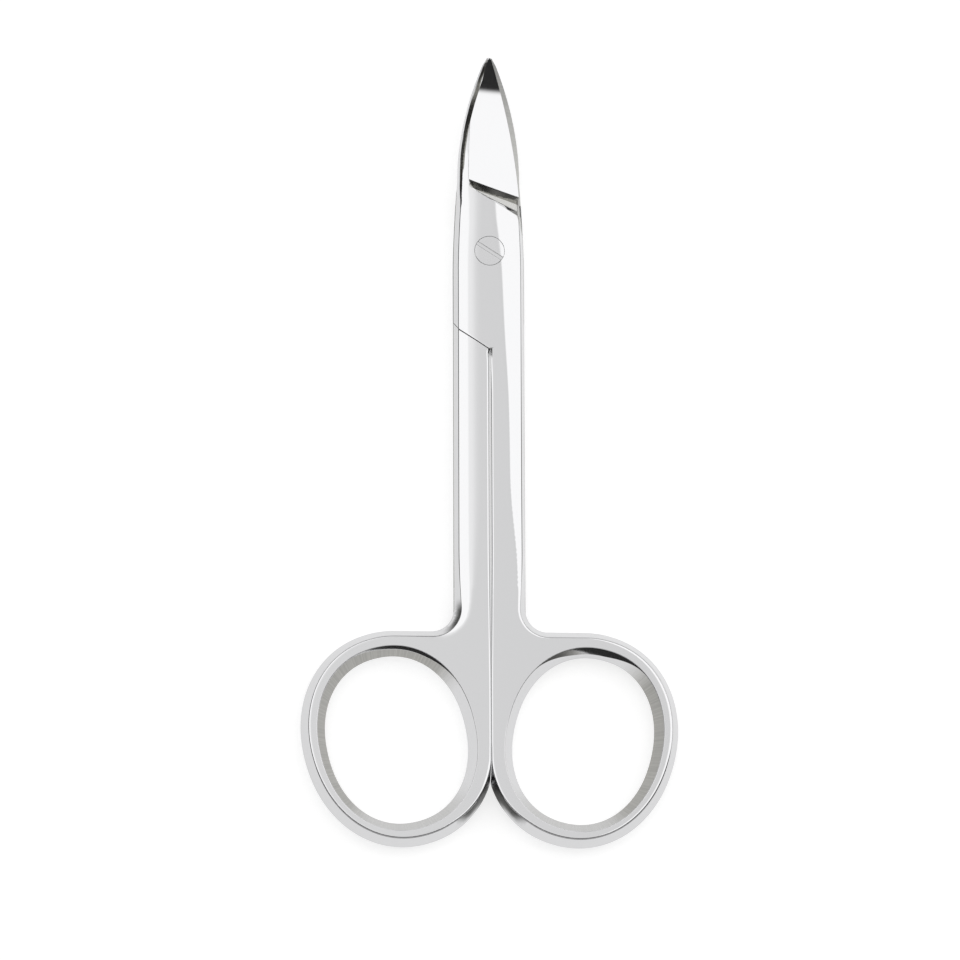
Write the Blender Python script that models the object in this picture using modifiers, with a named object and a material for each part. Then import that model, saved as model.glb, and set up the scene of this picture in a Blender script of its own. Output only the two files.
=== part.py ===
"""Toenail scissors: two forged halves that turn on a flush slotted screw, lying closed on their rear face.

Units are metres. X runs across the pair, Y along it to the blade tips and Z up, out of the front face.
The shapes are first made flat about the screw's axis. Then the blades are swept up towards their tips by
an amount that depends only on the distance from that axis, so that the halves slide past each other.
"""

import bmesh
import bpy
import numpy as np

# The whole pair
PIVOT_TO_TIP = 0.0263
PIVOT_TO_RING_END = 0.0787
THICKNESS = 0.0040
BODY_WIDTH = 0.0094

# Gaps between the two halves
LAP_GAP = 0.00016
SHOULDER_GAP = 0.00020
SHANK_GAP = 0.00046
RING_GAP = 0.00020

# A finger ring: the oval of its hole, the band round it, and how far it passes the middle, where it is cut
HOLE_HALF_LENGTH = 0.01090
HOLE_HALF_WIDTH = 0.00905
HOLE_TILT_DEG = 76.5
HOLE_SQUARENESS = 2.14
HOLE_OFFSET_X = 0.00017
HOLE_OFFSET_Y = 0.00015
BAND_LENGTHWISE = 0.00325
BAND_CROSSWISE = 0.00330
RING_TILT_DEG = 74.0
RING_SQUARENESS = 2.09
RING_MEETING_DEPTH = 0.00063
ROOT_FILLET = 0.0033

# Slopes from the widest line at half thickness to the faces
RING_DRAFT = 0.00092
RING_EDGE_WIDTH = 0.00014
NOTCH_FADE_X = 0.0050
RING_EDGE_DROP = 0.00005
BODY_DRAFT = 0.00056
CROWN_WIDTH = 0.00140
CROWN_DROP = 0.00016
SPINE_DRAFT = 0.00028
SPINE_CHAMFER_WIDTH = 0.00050
SPINE_CHAMFER_DROP = 0.00040
HOLE_WALL_WIDTH = 0.00078
HOLE_EDGE_WIDTH = 0.00036
HOLE_EDGE_DROP = 0.00045

# The shoulder, where each shank's half of the joint ends
SHOULDER_SIDE_Y = 0.0102
SHOULDER_CENTRE_Y = 0.0133
SHOULDER_ROUND = 0.0004

# The blades
BLADE_WIDTH = 0.00826
BLADE_ROOT_Y = 0.0097
TAPER_END_Y = -0.0025
TIP_ROUND = 0.00055
BLADE_RISE = 0.0024
RISE_START_RADIUS = 0.0045
EDGE_ROOT_INSET = 0.00019
EDGE_ROOT_Y = 0.0066
EDGE_TIP_X = 0.00012
EDGE_BOW = 0.00066
EDGE_THICKNESS = 0.00016
SPINE_TIP_THICKNESS = 0.00095

# The ground face of a blade and the curved step that ends it
STEP_CENTRE_Y = 0.0077
STEP_SLANT_DEG = 19.5
STEP_LENGTH = 0.00145
FACE_SIDE_INSET = 0.00143
FACE_SIDE_TIP_X = 0.0009
FACE_ROOT_DEPTH = 0.00075
FACE_SIDE_THICKNESS_TIP = 0.00080
FACE_HOLLOW = 0.00012
SIDE_WALL = 0.00008

# The screw
SCREW_HEAD_DIAMETER = 0.00385
SCREW_HEAD_DEPTH = 0.00100
SCREW_SHANK_DIAMETER = 0.00260
SCREW_RADIAL_GAP = 0.00007
SCREW_SEAT_GAP = 0.00010
SCREW_END_INSET = 0.00005
SCREW_EDGE = 0.00006
SLOT_WIDTH = 0.00039
SLOT_DEPTH = 0.00050
SLOT_TURN_DEG = -32.5

# How far cutters run past the surfaces that they cut, and the height of the block that grinds a blade
OVERRUN = 0.0010
GRIND_BLOCK_HEIGHT = 0.0030
# The first step of the grinding block's underside past its side wall
FACE_SIDE_STEP = 0.00048
# Points closer than this are one
SAME_POINT = 0.000001
# From the turned profile's axis, points closer than this are on it
SAME_TURNED_POINT = 0.000006

# Where the side's slopes change: shares of the way from the screw to the ring's middle, then to the root
RING_FADE_SHARES = (0.62, 0.80)
BLADE_FADE_SHARES = (0.62, 1.02)
# Share of the ring's slope that is left where the two rings meet
NOTCH_DRAFT_SHARE = 0.55
# Share by which the blade's side draws in from its root to its tip, and how the body eases in to it
BLADE_TAPER_SHARE = 0.89
BODY_TAPER_POWER = 1.6
# The most of the half width that the slopes take at each level near the tip
TIP_SLOPE_SHARES = (0.0, 0.24, 0.46)
# Where the grinding block starts, as a share of the step's distance from the screw
GRIND_START_SHARE = 0.5
# How far up the ring its outline meets the shank's round, and the gap between the halves turns straight
RING_ROOT_SHARE = 0.5

# Edges that turn by more than this stay crisp
SHARP_DEG = 22.0

# Finest near the ring and the tip, where the outline turns most
TIP_POINTS = 5
BLADE_POINTS = 12
TAPER_POINTS = 6
SIDE_POINTS = 6
FILLET_POINTS = 9
RING_POINTS = 44
HOLE_POINTS = 56
EDGE_POINTS = 12
ROUND_POINTS = 5
STEP_ROWS = 15
FACE_COLUMNS = 9
SWEEP_SLICES = 16
ROUND_STEPS = 56
DENSE = 1440

PIVOT_Y = (PIVOT_TO_RING_END - PIVOT_TO_TIP) / 2
HALF_BODY = BODY_WIDTH / 2
HALF_BLADE = BLADE_WIDTH / 2
MIDDLE = THICKNESS / 2
RADIUS_BEYOND = PIVOT_TO_RING_END + OVERRUN
RING_HALF_LENGTH = HOLE_HALF_LENGTH + BAND_LENGTHWISE
RING_HALF_WIDTH = HOLE_HALF_WIDTH + BAND_CROSSWISE
FACE_SIDE_X = HALF_BLADE - FACE_SIDE_INSET


def clear_scene():
    for obj in list(bpy.data.objects):
        bpy.data.objects.remove(obj, do_unlink=True)


def new_collection(name):
    collection = bpy.data.collections.new(name)
    bpy.context.scene.collection.children.link(collection)
    return collection


def steel(name, colour, roughness):
    """A polished metal in the given colour."""
    material = bpy.data.materials.new(name)
    material.use_nodes = True
    shader = material.node_tree.nodes["Principled BSDF"]
    shader.inputs["Base Color"].default_value = (*colour, 1.0)
    shader.inputs["Metallic"].default_value = 1.0
    shader.inputs["Roughness"].default_value = roughness
    return material


def smoothstep(value, low, high):
    share = np.clip((value - low) / (high - low), 0.0, 1.0)
    return share * share * (3.0 - 2.0 * share)


def evenly(path, count):
    """The path's points again, count of them at equal steps along it, both ends kept."""
    steps = np.hypot(*np.diff(path, axis=0).T)
    along = np.concatenate([[0.0], np.cumsum(steps)])
    wanted = np.linspace(0.0, along[-1], count)
    return np.stack([np.interp(wanted, along, path[:, axis]) for axis in (0, 1)], axis=1)


def rounded_oval(centre, half_length, half_width, tilt_deg, squareness):
    """A closed oval a little squarer than an ellipse, anticlockwise, with its outward normals."""
    turn = np.linspace(0.0, 2.0 * np.pi, DENSE + 1)[:-1]
    power = 2.0 / squareness
    along = half_length * np.sign(np.cos(turn)) * np.abs(np.cos(turn)) ** power
    across = half_width * np.sign(np.sin(turn)) * np.abs(np.sin(turn)) ** power
    tilt = np.radians(tilt_deg)
    points = np.stack(
        [
            centre[0] + along * np.cos(tilt) - across * np.sin(tilt),
            centre[1] + along * np.sin(tilt) + across * np.cos(tilt),
        ],
        axis=1,
    )
    ahead = np.roll(points, -1, axis=0) - np.roll(points, 1, axis=0)
    ahead /= np.hypot(*ahead.T)[:, None]
    return points, np.stack([ahead[:, 1], -ahead[:, 0]], axis=1)


def ring_oval(centre):
    return rounded_oval(centre, RING_HALF_LENGTH, RING_HALF_WIDTH, RING_TILT_DEG, RING_SQUARENESS)


def hole_oval(centre):
    return rounded_oval(centre, HOLE_HALF_LENGTH, HOLE_HALF_WIDTH, HOLE_TILT_DEG, HOLE_SQUARENESS)


def ring_centre():
    """The middle of a ring that reaches the pair's end and passes its middle by the meeting depth."""
    points, _ = ring_oval((0.0, 0.0))
    lowest = points.min(axis=0)
    return -RING_MEETING_DEPTH - lowest[0], -PIVOT_TO_RING_END - lowest[1]


RING_CENTRE_X, RING_CENTRE_Y = ring_centre()
HOLE_CENTRE_X = RING_CENTRE_X + HOLE_OFFSET_X
HOLE_CENTRE_Y = RING_CENTRE_Y - HOLE_OFFSET_Y


def half_width(y):
    """Half the closed pair's width at y: straight body, easing in to the blade, then drawn in to the tip."""
    ease = np.clip((y - TAPER_END_Y) / (BLADE_ROOT_Y - TAPER_END_Y), 0.0, 1.0) ** BODY_TAPER_POWER
    body = HALF_BODY - (HALF_BODY - HALF_BLADE) * ease
    share = np.clip((y - BLADE_ROOT_Y) / (PIVOT_TO_TIP - BLADE_ROOT_Y), 0.0, 1.0)
    return body * (1.0 - BLADE_TAPER_SHARE * share**2)


def root_fillet(ring):
    """Centre of the round between shank and ring, and the index of the ring's point that it meets."""
    x = HALF_BODY + ROOT_FILLET
    low = RING_CENTRE_Y + RING_HALF_LENGTH * RING_ROOT_SHARE
    high = RING_CENTRE_Y + RING_HALF_LENGTH + ROOT_FILLET + OVERRUN
    for _ in range(40):
        y = (low + high) / 2
        away = np.hypot(ring[:, 0] - x, ring[:, 1] - y)
        if away.min() > ROOT_FILLET:
            high = y
        else:
            low = y
    return (x, y), int(away.argmin())


def side_slopes(y):
    """Draft, and the width and drop of the crown inside it, along the side: blade, body and ring in turn."""
    body_length = -RING_CENTRE_Y
    blade = smoothstep(y, BLADE_ROOT_Y * BLADE_FADE_SHARES[0], BLADE_ROOT_Y * BLADE_FADE_SHARES[1])
    ring = smoothstep(-y, body_length * RING_FADE_SHARES[0], body_length * RING_FADE_SHARES[1])
    body = 1.0 - blade - ring
    draft = body * BODY_DRAFT + blade * SPINE_DRAFT + ring * RING_DRAFT
    width = body * CROWN_WIDTH + blade * SPINE_CHAMFER_WIDTH + ring * RING_EDGE_WIDTH
    drop = body * CROWN_DROP + blade * SPINE_CHAMFER_DROP + ring * RING_EDGE_DROP
    return draft, width, drop


def right_side(level):
    """The right side of the closed pair's outline from the tip to the notch between the rings, as (x, y, z).

    Level 0 is the widest line at half thickness, 1 the top of the draft and 2 the inner side of the crown.
    """
    top_y = PIVOT_TO_TIP - TIP_ROUND
    turn = np.linspace(0.0, np.pi / 2, TIP_POINTS)
    tip_x = half_width(top_y) - TIP_ROUND
    tip = np.stack([tip_x + TIP_ROUND * np.sin(turn), top_y + TIP_ROUND * np.cos(turn)], axis=1)
    blade_y = np.linspace(top_y, BLADE_ROOT_Y, BLADE_POINTS)[1:]
    taper_y = np.linspace(BLADE_ROOT_Y, TAPER_END_Y, TAPER_POINTS)[1:]
    ring, outward = ring_oval((RING_CENTRE_X, RING_CENTRE_Y))
    centre, meet = root_fillet(ring)
    side_y = np.linspace(TAPER_END_Y, centre[1], SIDE_POINTS)[1:]
    y = np.concatenate([blade_y, taper_y, side_y])
    side = np.stack([half_width(y), y], axis=1)
    meet_turn = np.arctan2(ring[meet, 1] - centre[1], ring[meet, 0] - centre[0]) % (2.0 * np.pi)
    turn = np.linspace(np.pi, meet_turn, FILLET_POINTS)[1:-1]
    fillet = np.array(centre) + ROOT_FILLET * np.stack([np.cos(turn), np.sin(turn)], axis=1)
    start = np.array([[0.0, PIVOT_TO_TIP]])
    upper = np.concatenate([start, tip, side, fillet])
    ahead = np.gradient(upper, axis=0)
    ahead[0] = (1.0, 0.0)
    ahead /= np.hypot(*ahead.T)[:, None]
    inward = np.stack([ahead[:, 1], -ahead[:, 0]], axis=1)
    draft, width, drop = side_slopes(upper[:, 1])
    inset = (0.0 * draft, draft, draft + width)[level]
    # Near the tip the slopes take at most a fixed share of the half width
    room = np.where(upper[:, 1] > BLADE_ROOT_Y, half_width(upper[:, 1]) * TIP_SLOPE_SHARES[level], inset)
    inset = np.minimum(inset, room)
    upper = upper + inward * inset[:, None]
    ring_inset = (0.0, RING_DRAFT, RING_DRAFT + RING_EDGE_WIDTH)[level]
    # The slope narrows towards the flat where the two rings meet
    narrowing = NOTCH_DRAFT_SHARE + (1.0 - NOTCH_DRAFT_SHARE) * smoothstep(ring[:, 0], 0.0, NOTCH_FADE_X)
    inner = ring - outward * (ring_inset * narrowing)[:, None]
    clockwise = np.roll(np.roll(inner, -meet, axis=0)[::-1], 1, axis=0)
    turn_back = int(np.argmax(clockwise[DENSE // 2 :, 0] < 0.0)) + DENSE // 2
    before, after = clockwise[turn_back - 1], clockwise[turn_back]
    share = before[0] / (before[0] - after[0])
    crossing = before + (after - before) * share
    lower = evenly(np.vstack([clockwise[:turn_back], crossing]), RING_POINTS)
    lower[-1, 0] = 0.0
    upper_z = (np.full(len(upper), MIDDLE), THICKNESS - drop, np.full(len(upper), THICKNESS))[level]
    ring_z = (MIDDLE, THICKNESS - RING_EDGE_DROP, THICKNESS)[level]
    points = np.vstack([upper, lower])
    heights = np.concatenate([upper_z, np.full(len(lower), ring_z)])
    return np.column_stack([points, heights])


def hole_loop(level, side):
    """One closed loop of a finger hole: 0 at half thickness, 1 where its wall ends and 2 on the face."""
    points, outward = hole_oval((HOLE_CENTRE_X, HOLE_CENTRE_Y))
    wider = (0.0, HOLE_WALL_WIDTH, HOLE_WALL_WIDTH + HOLE_EDGE_WIDTH)[level]
    points = points + outward * wider
    points = evenly(np.vstack([points, points[:1]]), HOLE_POINTS + 1)[:-1]
    height = (MIDDLE, THICKNESS - HOLE_EDGE_DROP, THICKNESS)[level]
    return np.column_stack([points[:, 0] * side, points[:, 1], np.full(len(points), height)])


def stacked(upper_loops):
    """A wall's loops from the rear face to the front, the rear ones mirrored through half thickness."""
    rear = [loop * (1.0, 1.0, -1.0) + (0.0, 0.0, THICKNESS) for loop in upper_loops[:0:-1]]
    return rear + upper_loops


def wall(bm, loops):
    """Quads between closed loops of the same length. Gives the edges of the first and the last loop."""
    rows = [[bm.verts.new(point) for point in loop] for loop in loops]
    for low, high in zip(rows, rows[1:]):
        for i in range(len(low)):
            bm.faces.new((low[i - 1], low[i], high[i], high[i - 1]))
    ends = []
    for row in (rows[0], rows[-1]):
        ends.append([bm.edges.get((row[i - 1], row[i])) for i in range(len(row))])
    return ends


def closed_pair(name):
    """The outer form that both halves share: the closed pair's outline with its slopes and two holes."""
    bm = bmesh.new()
    outline = []
    for level in range(3):
        right = right_side(level)
        left = right[-2:0:-1] * (-1.0, 1.0, 1.0)
        outline.append(np.vstack([right, left]))
    walls = [wall(bm, stacked(outline))]
    for side in (1.0, -1.0):
        walls.append(wall(bm, stacked([hole_loop(level, side) for level in range(3)])))
    for end in (0, 1):
        edges = [edge for ends in walls for edge in ends[end]]
        bmesh.ops.triangle_fill(bm, edges=edges, use_beauty=True)
    bmesh.ops.recalc_face_normals(bm, faces=bm.faces)
    mesh = bpy.data.meshes.new(name)
    bm.to_mesh(mesh)
    bm.free()
    return mesh


def add_object(name, mesh, collection):
    obj = bpy.data.objects.new(name, mesh)
    collection.objects.link(obj)
    return obj


def hide_cutter(obj):
    obj.hide_render = True
    obj.display_type = "WIRE"
    return obj


def prism(name, outline, low, high, collection):
    """A flat outline, a list of (x, y), filled and carried from low to high."""
    curve = bpy.data.curves.new(name, "CURVE")
    curve.dimensions = "2D"
    curve.fill_mode = "BOTH"
    curve.extrude = (high - low) / 2
    spline = curve.splines.new("POLY")
    spline.points.add(len(outline) - 1)
    for point, (x, y) in zip(spline.points, outline):
        point.co = (x, y, 0.0, 1.0)
    spline.use_cyclic_u = True
    source = add_object(name, curve, collection)
    source.location.z = (high + low) / 2
    bpy.context.view_layer.update()
    graph = bpy.context.evaluated_depsgraph_get()
    mesh = bpy.data.meshes.new_from_object(source.evaluated_get(graph))
    mesh.transform(source.matrix_world)
    bpy.data.objects.remove(source, do_unlink=True)
    bm = bmesh.new()
    bm.from_mesh(mesh)
    bmesh.ops.remove_doubles(bm, verts=bm.verts, dist=SAME_POINT)
    bmesh.ops.recalc_face_normals(bm, faces=bm.faces)
    bm.to_mesh(mesh)
    bm.free()
    return hide_cutter(add_object(name, mesh, collection))


def round_bar(name, diameter, low, high, collection):
    radius = diameter / 2
    bpy.ops.mesh.primitive_cylinder_add(vertices=ROUND_STEPS, radius=radius, depth=high - low)
    obj = bpy.context.object
    obj.name = name
    obj.location.z = (high + low) / 2
    for owner in list(obj.users_collection):
        owner.objects.unlink(obj)
    collection.objects.link(obj)
    return hide_cutter(obj)


def shoulder_line(shift):
    """The left shoulder from beyond the body's side to the middle, then rounded down, as a list of (x, y)."""
    slope = (SHOULDER_SIDE_Y - SHOULDER_CENTRE_Y) / HALF_BODY
    beyond = HALF_BODY + OVERRUN
    outer = (-beyond, -SHOULDER_CENTRE_Y - slope * beyond + shift)
    corner = np.array([0.0, -SHOULDER_CENTRE_Y + shift])
    back = np.array(outer) - corner
    back /= np.hypot(*back)
    first = corner + back * SHOULDER_ROUND
    last = corner - (0.0, SHOULDER_ROUND)
    share = np.linspace(0.0, 1.0, ROUND_POINTS)[:, None]
    bend = (1.0 - share) ** 2 * first + 2.0 * share * (1.0 - share) * corner + share**2 * last
    return [outer] + [tuple(point) for point in bend]


def other_handle_outline():
    """Everything left of the middle below the shoulder: the other half's shank and ring."""
    line = shoulder_line(SHOULDER_GAP / 2)
    line = [(x + SHANK_GAP / 2, y) if x > -SHOULDER_ROUND else (x, y) for x, y in line]
    root_y = RING_CENTRE_Y + RING_HALF_LENGTH * RING_ROOT_SHARE
    line.append((RING_GAP / 2, root_y))
    line.append((RING_GAP / 2, -RADIUS_BEYOND))
    line.append((-RADIUS_BEYOND, -RADIUS_BEYOND))
    line.append((-RADIUS_BEYOND, line[0][1]))
    return line


def other_layer_outline():
    """Everything above the mirrored shoulder: where the other half fills the rear layer of the joint."""
    line = [(-x, y) for x, y in shoulder_line(-SHOULDER_GAP / 2)]
    line = [point for point in line if point[0] > 0.0 or point is line[-1]]
    line.append((-RADIUS_BEYOND, line[-1][1]))
    line.append((-RADIUS_BEYOND, RADIUS_BEYOND))
    line.append((RADIUS_BEYOND, RADIUS_BEYOND))
    line.append((RADIUS_BEYOND, line[0][1]))
    return line


def edge_x(y):
    """The cutting edge: a chord from root to tip with an even bow."""
    share = np.clip((y - EDGE_ROOT_Y) / (PIVOT_TO_TIP - EDGE_ROOT_Y), 0.0, 1.0)
    root = half_width(EDGE_ROOT_Y) - EDGE_ROOT_INSET
    return root + (EDGE_TIP_X - root) * share + EDGE_BOW * 4.0 * share * (1.0 - share)


def beyond_edge_outline():
    y = np.linspace(EDGE_ROOT_Y, PIVOT_TO_TIP, EDGE_POINTS)
    line = list(zip(edge_x(y), y))
    top = PIVOT_TO_TIP + OVERRUN
    beyond = HALF_BODY + OVERRUN
    return [(beyond, EDGE_ROOT_Y)] + line + [(EDGE_TIP_X, top), (beyond, top)]


def face_side_x(y):
    """The ground face's left border: near the spine at the root, drawn to the middle at the tip."""
    share = np.clip((y - BLADE_ROOT_Y) / (PIVOT_TO_TIP - BLADE_ROOT_Y), 0.0, 1.0)
    return -FACE_SIDE_X + (FACE_SIDE_X - FACE_SIDE_TIP_X) * share**3


def ground_height(x, y):
    """Height of a flat blade's ground front: a curved step, then a hollow face down to the edge."""
    slant = np.radians(STEP_SLANT_DEG)
    past_lip = (y - STEP_CENTRE_Y) * np.cos(slant) + x * np.sin(slant)
    share = np.clip((y - BLADE_ROOT_Y) / (PIVOT_TO_TIP - BLADE_ROOT_Y), 0.0, 1.0)
    side = face_side_x(y)
    across = np.clip((x - side) / (edge_x(y) - side), 0.0, 1.0)
    side_height = THICKNESS - FACE_ROOT_DEPTH
    side_height = side_height + (MIDDLE + FACE_SIDE_THICKNESS_TIP - side_height) * share
    edge_height = MIDDLE + LAP_GAP / 2 + EDGE_THICKNESS
    face = side_height + (edge_height - side_height) * across - FACE_HOLLOW * 4.0 * across * (1.0 - across)
    step = 1.0 - np.clip(1.0 - past_lip / STEP_LENGTH, 0.0, 1.0) ** 2
    top = THICKNESS + OVERRUN * np.clip(-past_lip / STEP_LENGTH, 0.0, 1.0)
    ground = np.where(past_lip > 0.0, THICKNESS + (face - THICKNESS) * step, top)
    spine = THICKNESS + (MIDDLE + SPINE_TIP_THICKNESS - THICKNESS) * share
    spine = np.where(y > BLADE_ROOT_Y, spine, THICKNESS + OVERRUN * (BLADE_ROOT_Y - y) / BLADE_ROOT_Y)
    return np.where(x < side, spine, np.minimum(ground, spine))


def ground_cutter(name, collection):
    """A block over the blade whose underside is the ground surface."""
    rows_y = np.concatenate(
        [
            np.linspace(STEP_CENTRE_Y * GRIND_START_SHARE, STEP_CENTRE_Y - STEP_LENGTH, 3)[:-1],
            np.linspace(STEP_CENTRE_Y - STEP_LENGTH, BLADE_ROOT_Y + STEP_LENGTH, STEP_ROWS)[:-1],
            np.linspace(BLADE_ROOT_Y + STEP_LENGTH, PIVOT_TO_TIP + OVERRUN, BLADE_POINTS),
        ]
    )
    bm = bmesh.new()
    rows = []
    beyond = HALF_BODY + OVERRUN
    for y in rows_y:
        side = float(face_side_x(y))
        left = np.array([-beyond, side - SIDE_WALL])
        right = np.concatenate([[side], np.linspace(side + FACE_SIDE_STEP, beyond, FACE_COLUMNS)])
        x = np.concatenate([left, right])
        rows.append([bm.verts.new((a, y, b)) for a, b in zip(x, ground_height(x, y))])
    roof = THICKNESS + GRIND_BLOCK_HEIGHT
    tops = [[bm.verts.new((v.co.x, v.co.y, roof)) for v in row] for row in rows]
    for sheet in (rows, tops):
        for one, two in zip(sheet, sheet[1:]):
            for i in range(1, len(one)):
                bm.faces.new((one[i - 1], one[i], two[i], two[i - 1]))
    rims = [(rows[0], tops[0]), (rows[-1], tops[-1])]
    rims += [([row[i] for row in rows], [row[i] for row in tops]) for i in (0, -1)]
    for low, high in rims:
        for i in range(1, len(low)):
            bm.faces.new((low[i - 1], low[i], high[i], high[i - 1]))
    bmesh.ops.recalc_face_normals(bm, faces=bm.faces)
    mesh = bpy.data.meshes.new(name)
    bm.to_mesh(mesh)
    bm.free()
    return hide_cutter(add_object(name, mesh, collection))


def turned_over(cutter, name, collection):
    """The same cutter turned half round about the pair's long middle axis, for the other half."""
    mesh = cutter.data.copy()
    points = np.empty(len(mesh.vertices) * 3)
    mesh.vertices.foreach_get("co", points)
    points = points.reshape(-1, 3) + np.array(cutter.location)
    points = points * (-1.0, 1.0, -1.0) + (0.0, 0.0, THICKNESS)
    mesh.vertices.foreach_set("co", points.ravel())
    mesh.update()
    return hide_cutter(add_object(name, mesh, collection))


def cut(obj, cutters):
    for cutter in cutters:
        modifier = obj.modifiers.new(cutter.name, "BOOLEAN")
        modifier.operation = "DIFFERENCE"
        modifier.solver = "EXACT"
        modifier.object = cutter


def applied(obj):
    """The object's mesh with its modifiers applied."""
    bpy.context.view_layer.update()
    graph = bpy.context.evaluated_depsgraph_get()
    mesh = bpy.data.meshes.new_from_object(obj.evaluated_get(graph))
    obj.modifiers.clear()
    obj.data = mesh
    return mesh


def sweep_blade(mesh):
    """Lifts the blade by the square of its distance past the rise's start, the same at every bearing."""
    bm = bmesh.new()
    bm.from_mesh(mesh)
    for y in np.linspace(RISE_START_RADIUS, PIVOT_TO_TIP, SWEEP_SLICES + 1)[:-1]:
        everything = bm.verts[:] + bm.edges[:] + bm.faces[:]
        across = (0.0, 1.0, 0.0)
        bmesh.ops.bisect_plane(bm, geom=everything, dist=SAME_POINT, plane_co=(0.0, y, 0.0), plane_no=across)
    bmesh.ops.triangulate(bm, faces=bm.faces)
    for vertex in bm.verts:
        radius = np.hypot(vertex.co.x, vertex.co.y)
        if vertex.co.y > 0.0 and radius > RISE_START_RADIUS:
            share = (radius - RISE_START_RADIUS) / (PIVOT_TO_TIP - RISE_START_RADIUS)
            vertex.co.z += BLADE_RISE * share**2
    bm.to_mesh(mesh)
    bm.free()


def finish(obj, material):
    obj.data.materials.clear()
    obj.data.materials.append(material)
    obj.data.shade_smooth()
    obj.data.set_sharp_from_angle(angle=np.radians(SHARP_DEG))
    obj.location.y = PIVOT_Y


def make_halves(parts, cutters, materials):
    bore = SCREW_SHANK_DIAMETER + 2 * SCREW_RADIAL_GAP
    recess = SCREW_HEAD_DIAMETER + 2 * SCREW_RADIAL_GAP
    recess_floor = THICKNESS - SCREW_HEAD_DEPTH - SCREW_SEAT_GAP
    above = THICKNESS + OVERRUN
    shared = round_bar("screw_bore", bore, -OVERRUN, above, cutters)
    head = round_bar("screw_recess", recess, recess_floor, above, cutters)
    front_cutters = [
        prism("rear_handle_place", other_handle_outline(), -OVERRUN, above, cutters),
        prism("rear_layer_place", other_layer_outline(), -OVERRUN, MIDDLE + LAP_GAP / 2, cutters),
        prism("beyond_front_edge", beyond_edge_outline(), -OVERRUN, above, cutters),
        ground_cutter("front_grind", cutters),
    ]
    names = ("front_handle_place", "front_layer_place", "beyond_rear_edge", "rear_grind")
    rear_cutters = [turned_over(cutter, name, cutters) for cutter, name in zip(front_cutters, names)]
    names = ("front_blade_half", "rear_blade_half")
    for name, own, material in zip(names, (front_cutters + [head], rear_cutters), materials):
        half = add_object(name, closed_pair(name), parts)
        cut(half, own + [shared])
        sweep_blade(applied(half))
        finish(half, material)


def make_screw(parts, cutters, material):
    """The flush screw: a turned head and shank with a driver slot."""
    head, shank = SCREW_HEAD_DIAMETER / 2, SCREW_SHANK_DIAMETER / 2
    under_head = THICKNESS - SCREW_HEAD_DEPTH
    profile = [
        (0.0, THICKNESS),
        (head - SCREW_EDGE, THICKNESS),
        (head, THICKNESS - SCREW_EDGE),
        (head, under_head),
        (shank, under_head),
        (shank, SCREW_END_INSET + SCREW_EDGE),
        (shank - SCREW_EDGE, SCREW_END_INSET),
        (0.0, SCREW_END_INSET),
    ]
    mesh = bpy.data.meshes.new("pivot_screw")
    edges = [(i, i + 1) for i in range(len(profile) - 1)]
    mesh.from_pydata([(x, 0.0, z) for x, z in profile], edges, [])
    screw = add_object("pivot_screw", mesh, parts)
    turn = screw.modifiers.new("turned", "SCREW")
    turn.steps = turn.render_steps = ROUND_STEPS
    turn.use_merge_vertices = True
    turn.merge_threshold = SAME_TURNED_POINT
    bpy.ops.mesh.primitive_cube_add(size=1.0)
    slot = bpy.context.object
    slot.name = "driver_slot"
    for owner in list(slot.users_collection):
        owner.objects.unlink(slot)
    cutters.objects.link(slot)
    slot.scale = (SCREW_HEAD_DIAMETER + OVERRUN, SLOT_WIDTH, 2 * SLOT_DEPTH)
    slot.location.z = THICKNESS
    slot.rotation_euler.z = np.radians(SLOT_TURN_DEG)
    hide_cutter(slot)
    bpy.context.view_layer.update()
    slot.data.transform(slot.matrix_world)
    slot.matrix_world.identity()
    cut(screw, [slot])
    applied(screw)
    finish(screw, material)


def main():
    clear_scene()
    parts = new_collection("toenail_scissors")
    cutters = new_collection("cutters")
    cutters.hide_render = True
    front_steel = steel("polished_stainless_front", (0.78, 0.78, 0.79), 0.10)
    rear_steel = steel("polished_stainless_rear", (0.77, 0.77, 0.78), 0.10)
    screw_steel = steel("screw_stainless", (0.72, 0.72, 0.73), 0.16)
    make_halves(parts, cutters, (front_steel, rear_steel))
    make_screw(parts, cutters, screw_steel)


main()
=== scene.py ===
"""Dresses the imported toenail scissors: two polished steel halves and a slotted screw on a pale floor."""

import math
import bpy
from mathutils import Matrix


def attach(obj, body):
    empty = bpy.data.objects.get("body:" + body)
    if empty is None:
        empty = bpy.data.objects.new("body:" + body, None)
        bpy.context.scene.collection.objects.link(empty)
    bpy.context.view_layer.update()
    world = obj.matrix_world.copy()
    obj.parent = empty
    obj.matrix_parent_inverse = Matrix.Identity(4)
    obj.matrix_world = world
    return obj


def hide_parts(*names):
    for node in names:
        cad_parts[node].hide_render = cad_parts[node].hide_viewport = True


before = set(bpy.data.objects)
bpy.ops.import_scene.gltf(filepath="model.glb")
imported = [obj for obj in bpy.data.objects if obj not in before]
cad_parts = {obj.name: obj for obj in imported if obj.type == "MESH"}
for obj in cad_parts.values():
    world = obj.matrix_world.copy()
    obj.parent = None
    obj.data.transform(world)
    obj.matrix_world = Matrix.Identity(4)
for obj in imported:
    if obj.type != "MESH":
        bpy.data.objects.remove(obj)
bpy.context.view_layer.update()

from types import SimpleNamespace

import bpy
import numpy as np
from mathutils import Matrix, Vector
from mathutils.geometry import delaunay_2d_cdt

bl_info = {
    "name": "Toenail scissors",
    "version": (1, 0, 0),
    "blender": (4, 5, 0),
    "location": "3D View > Sidebar > Scissors",
    "description": "Polished toenail scissors: two forged halves on a flush slotted screw",
    "category": "Object",
}

MM = 0.001

# Places on the pair are measured from the screw's axis, with the tip upwards, in metres
PIVOT_TO_TIP = 0.0263
PIVOT_TO_RING_END = 0.0787
BLADE_ROOT_Y = 0.0097


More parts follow.
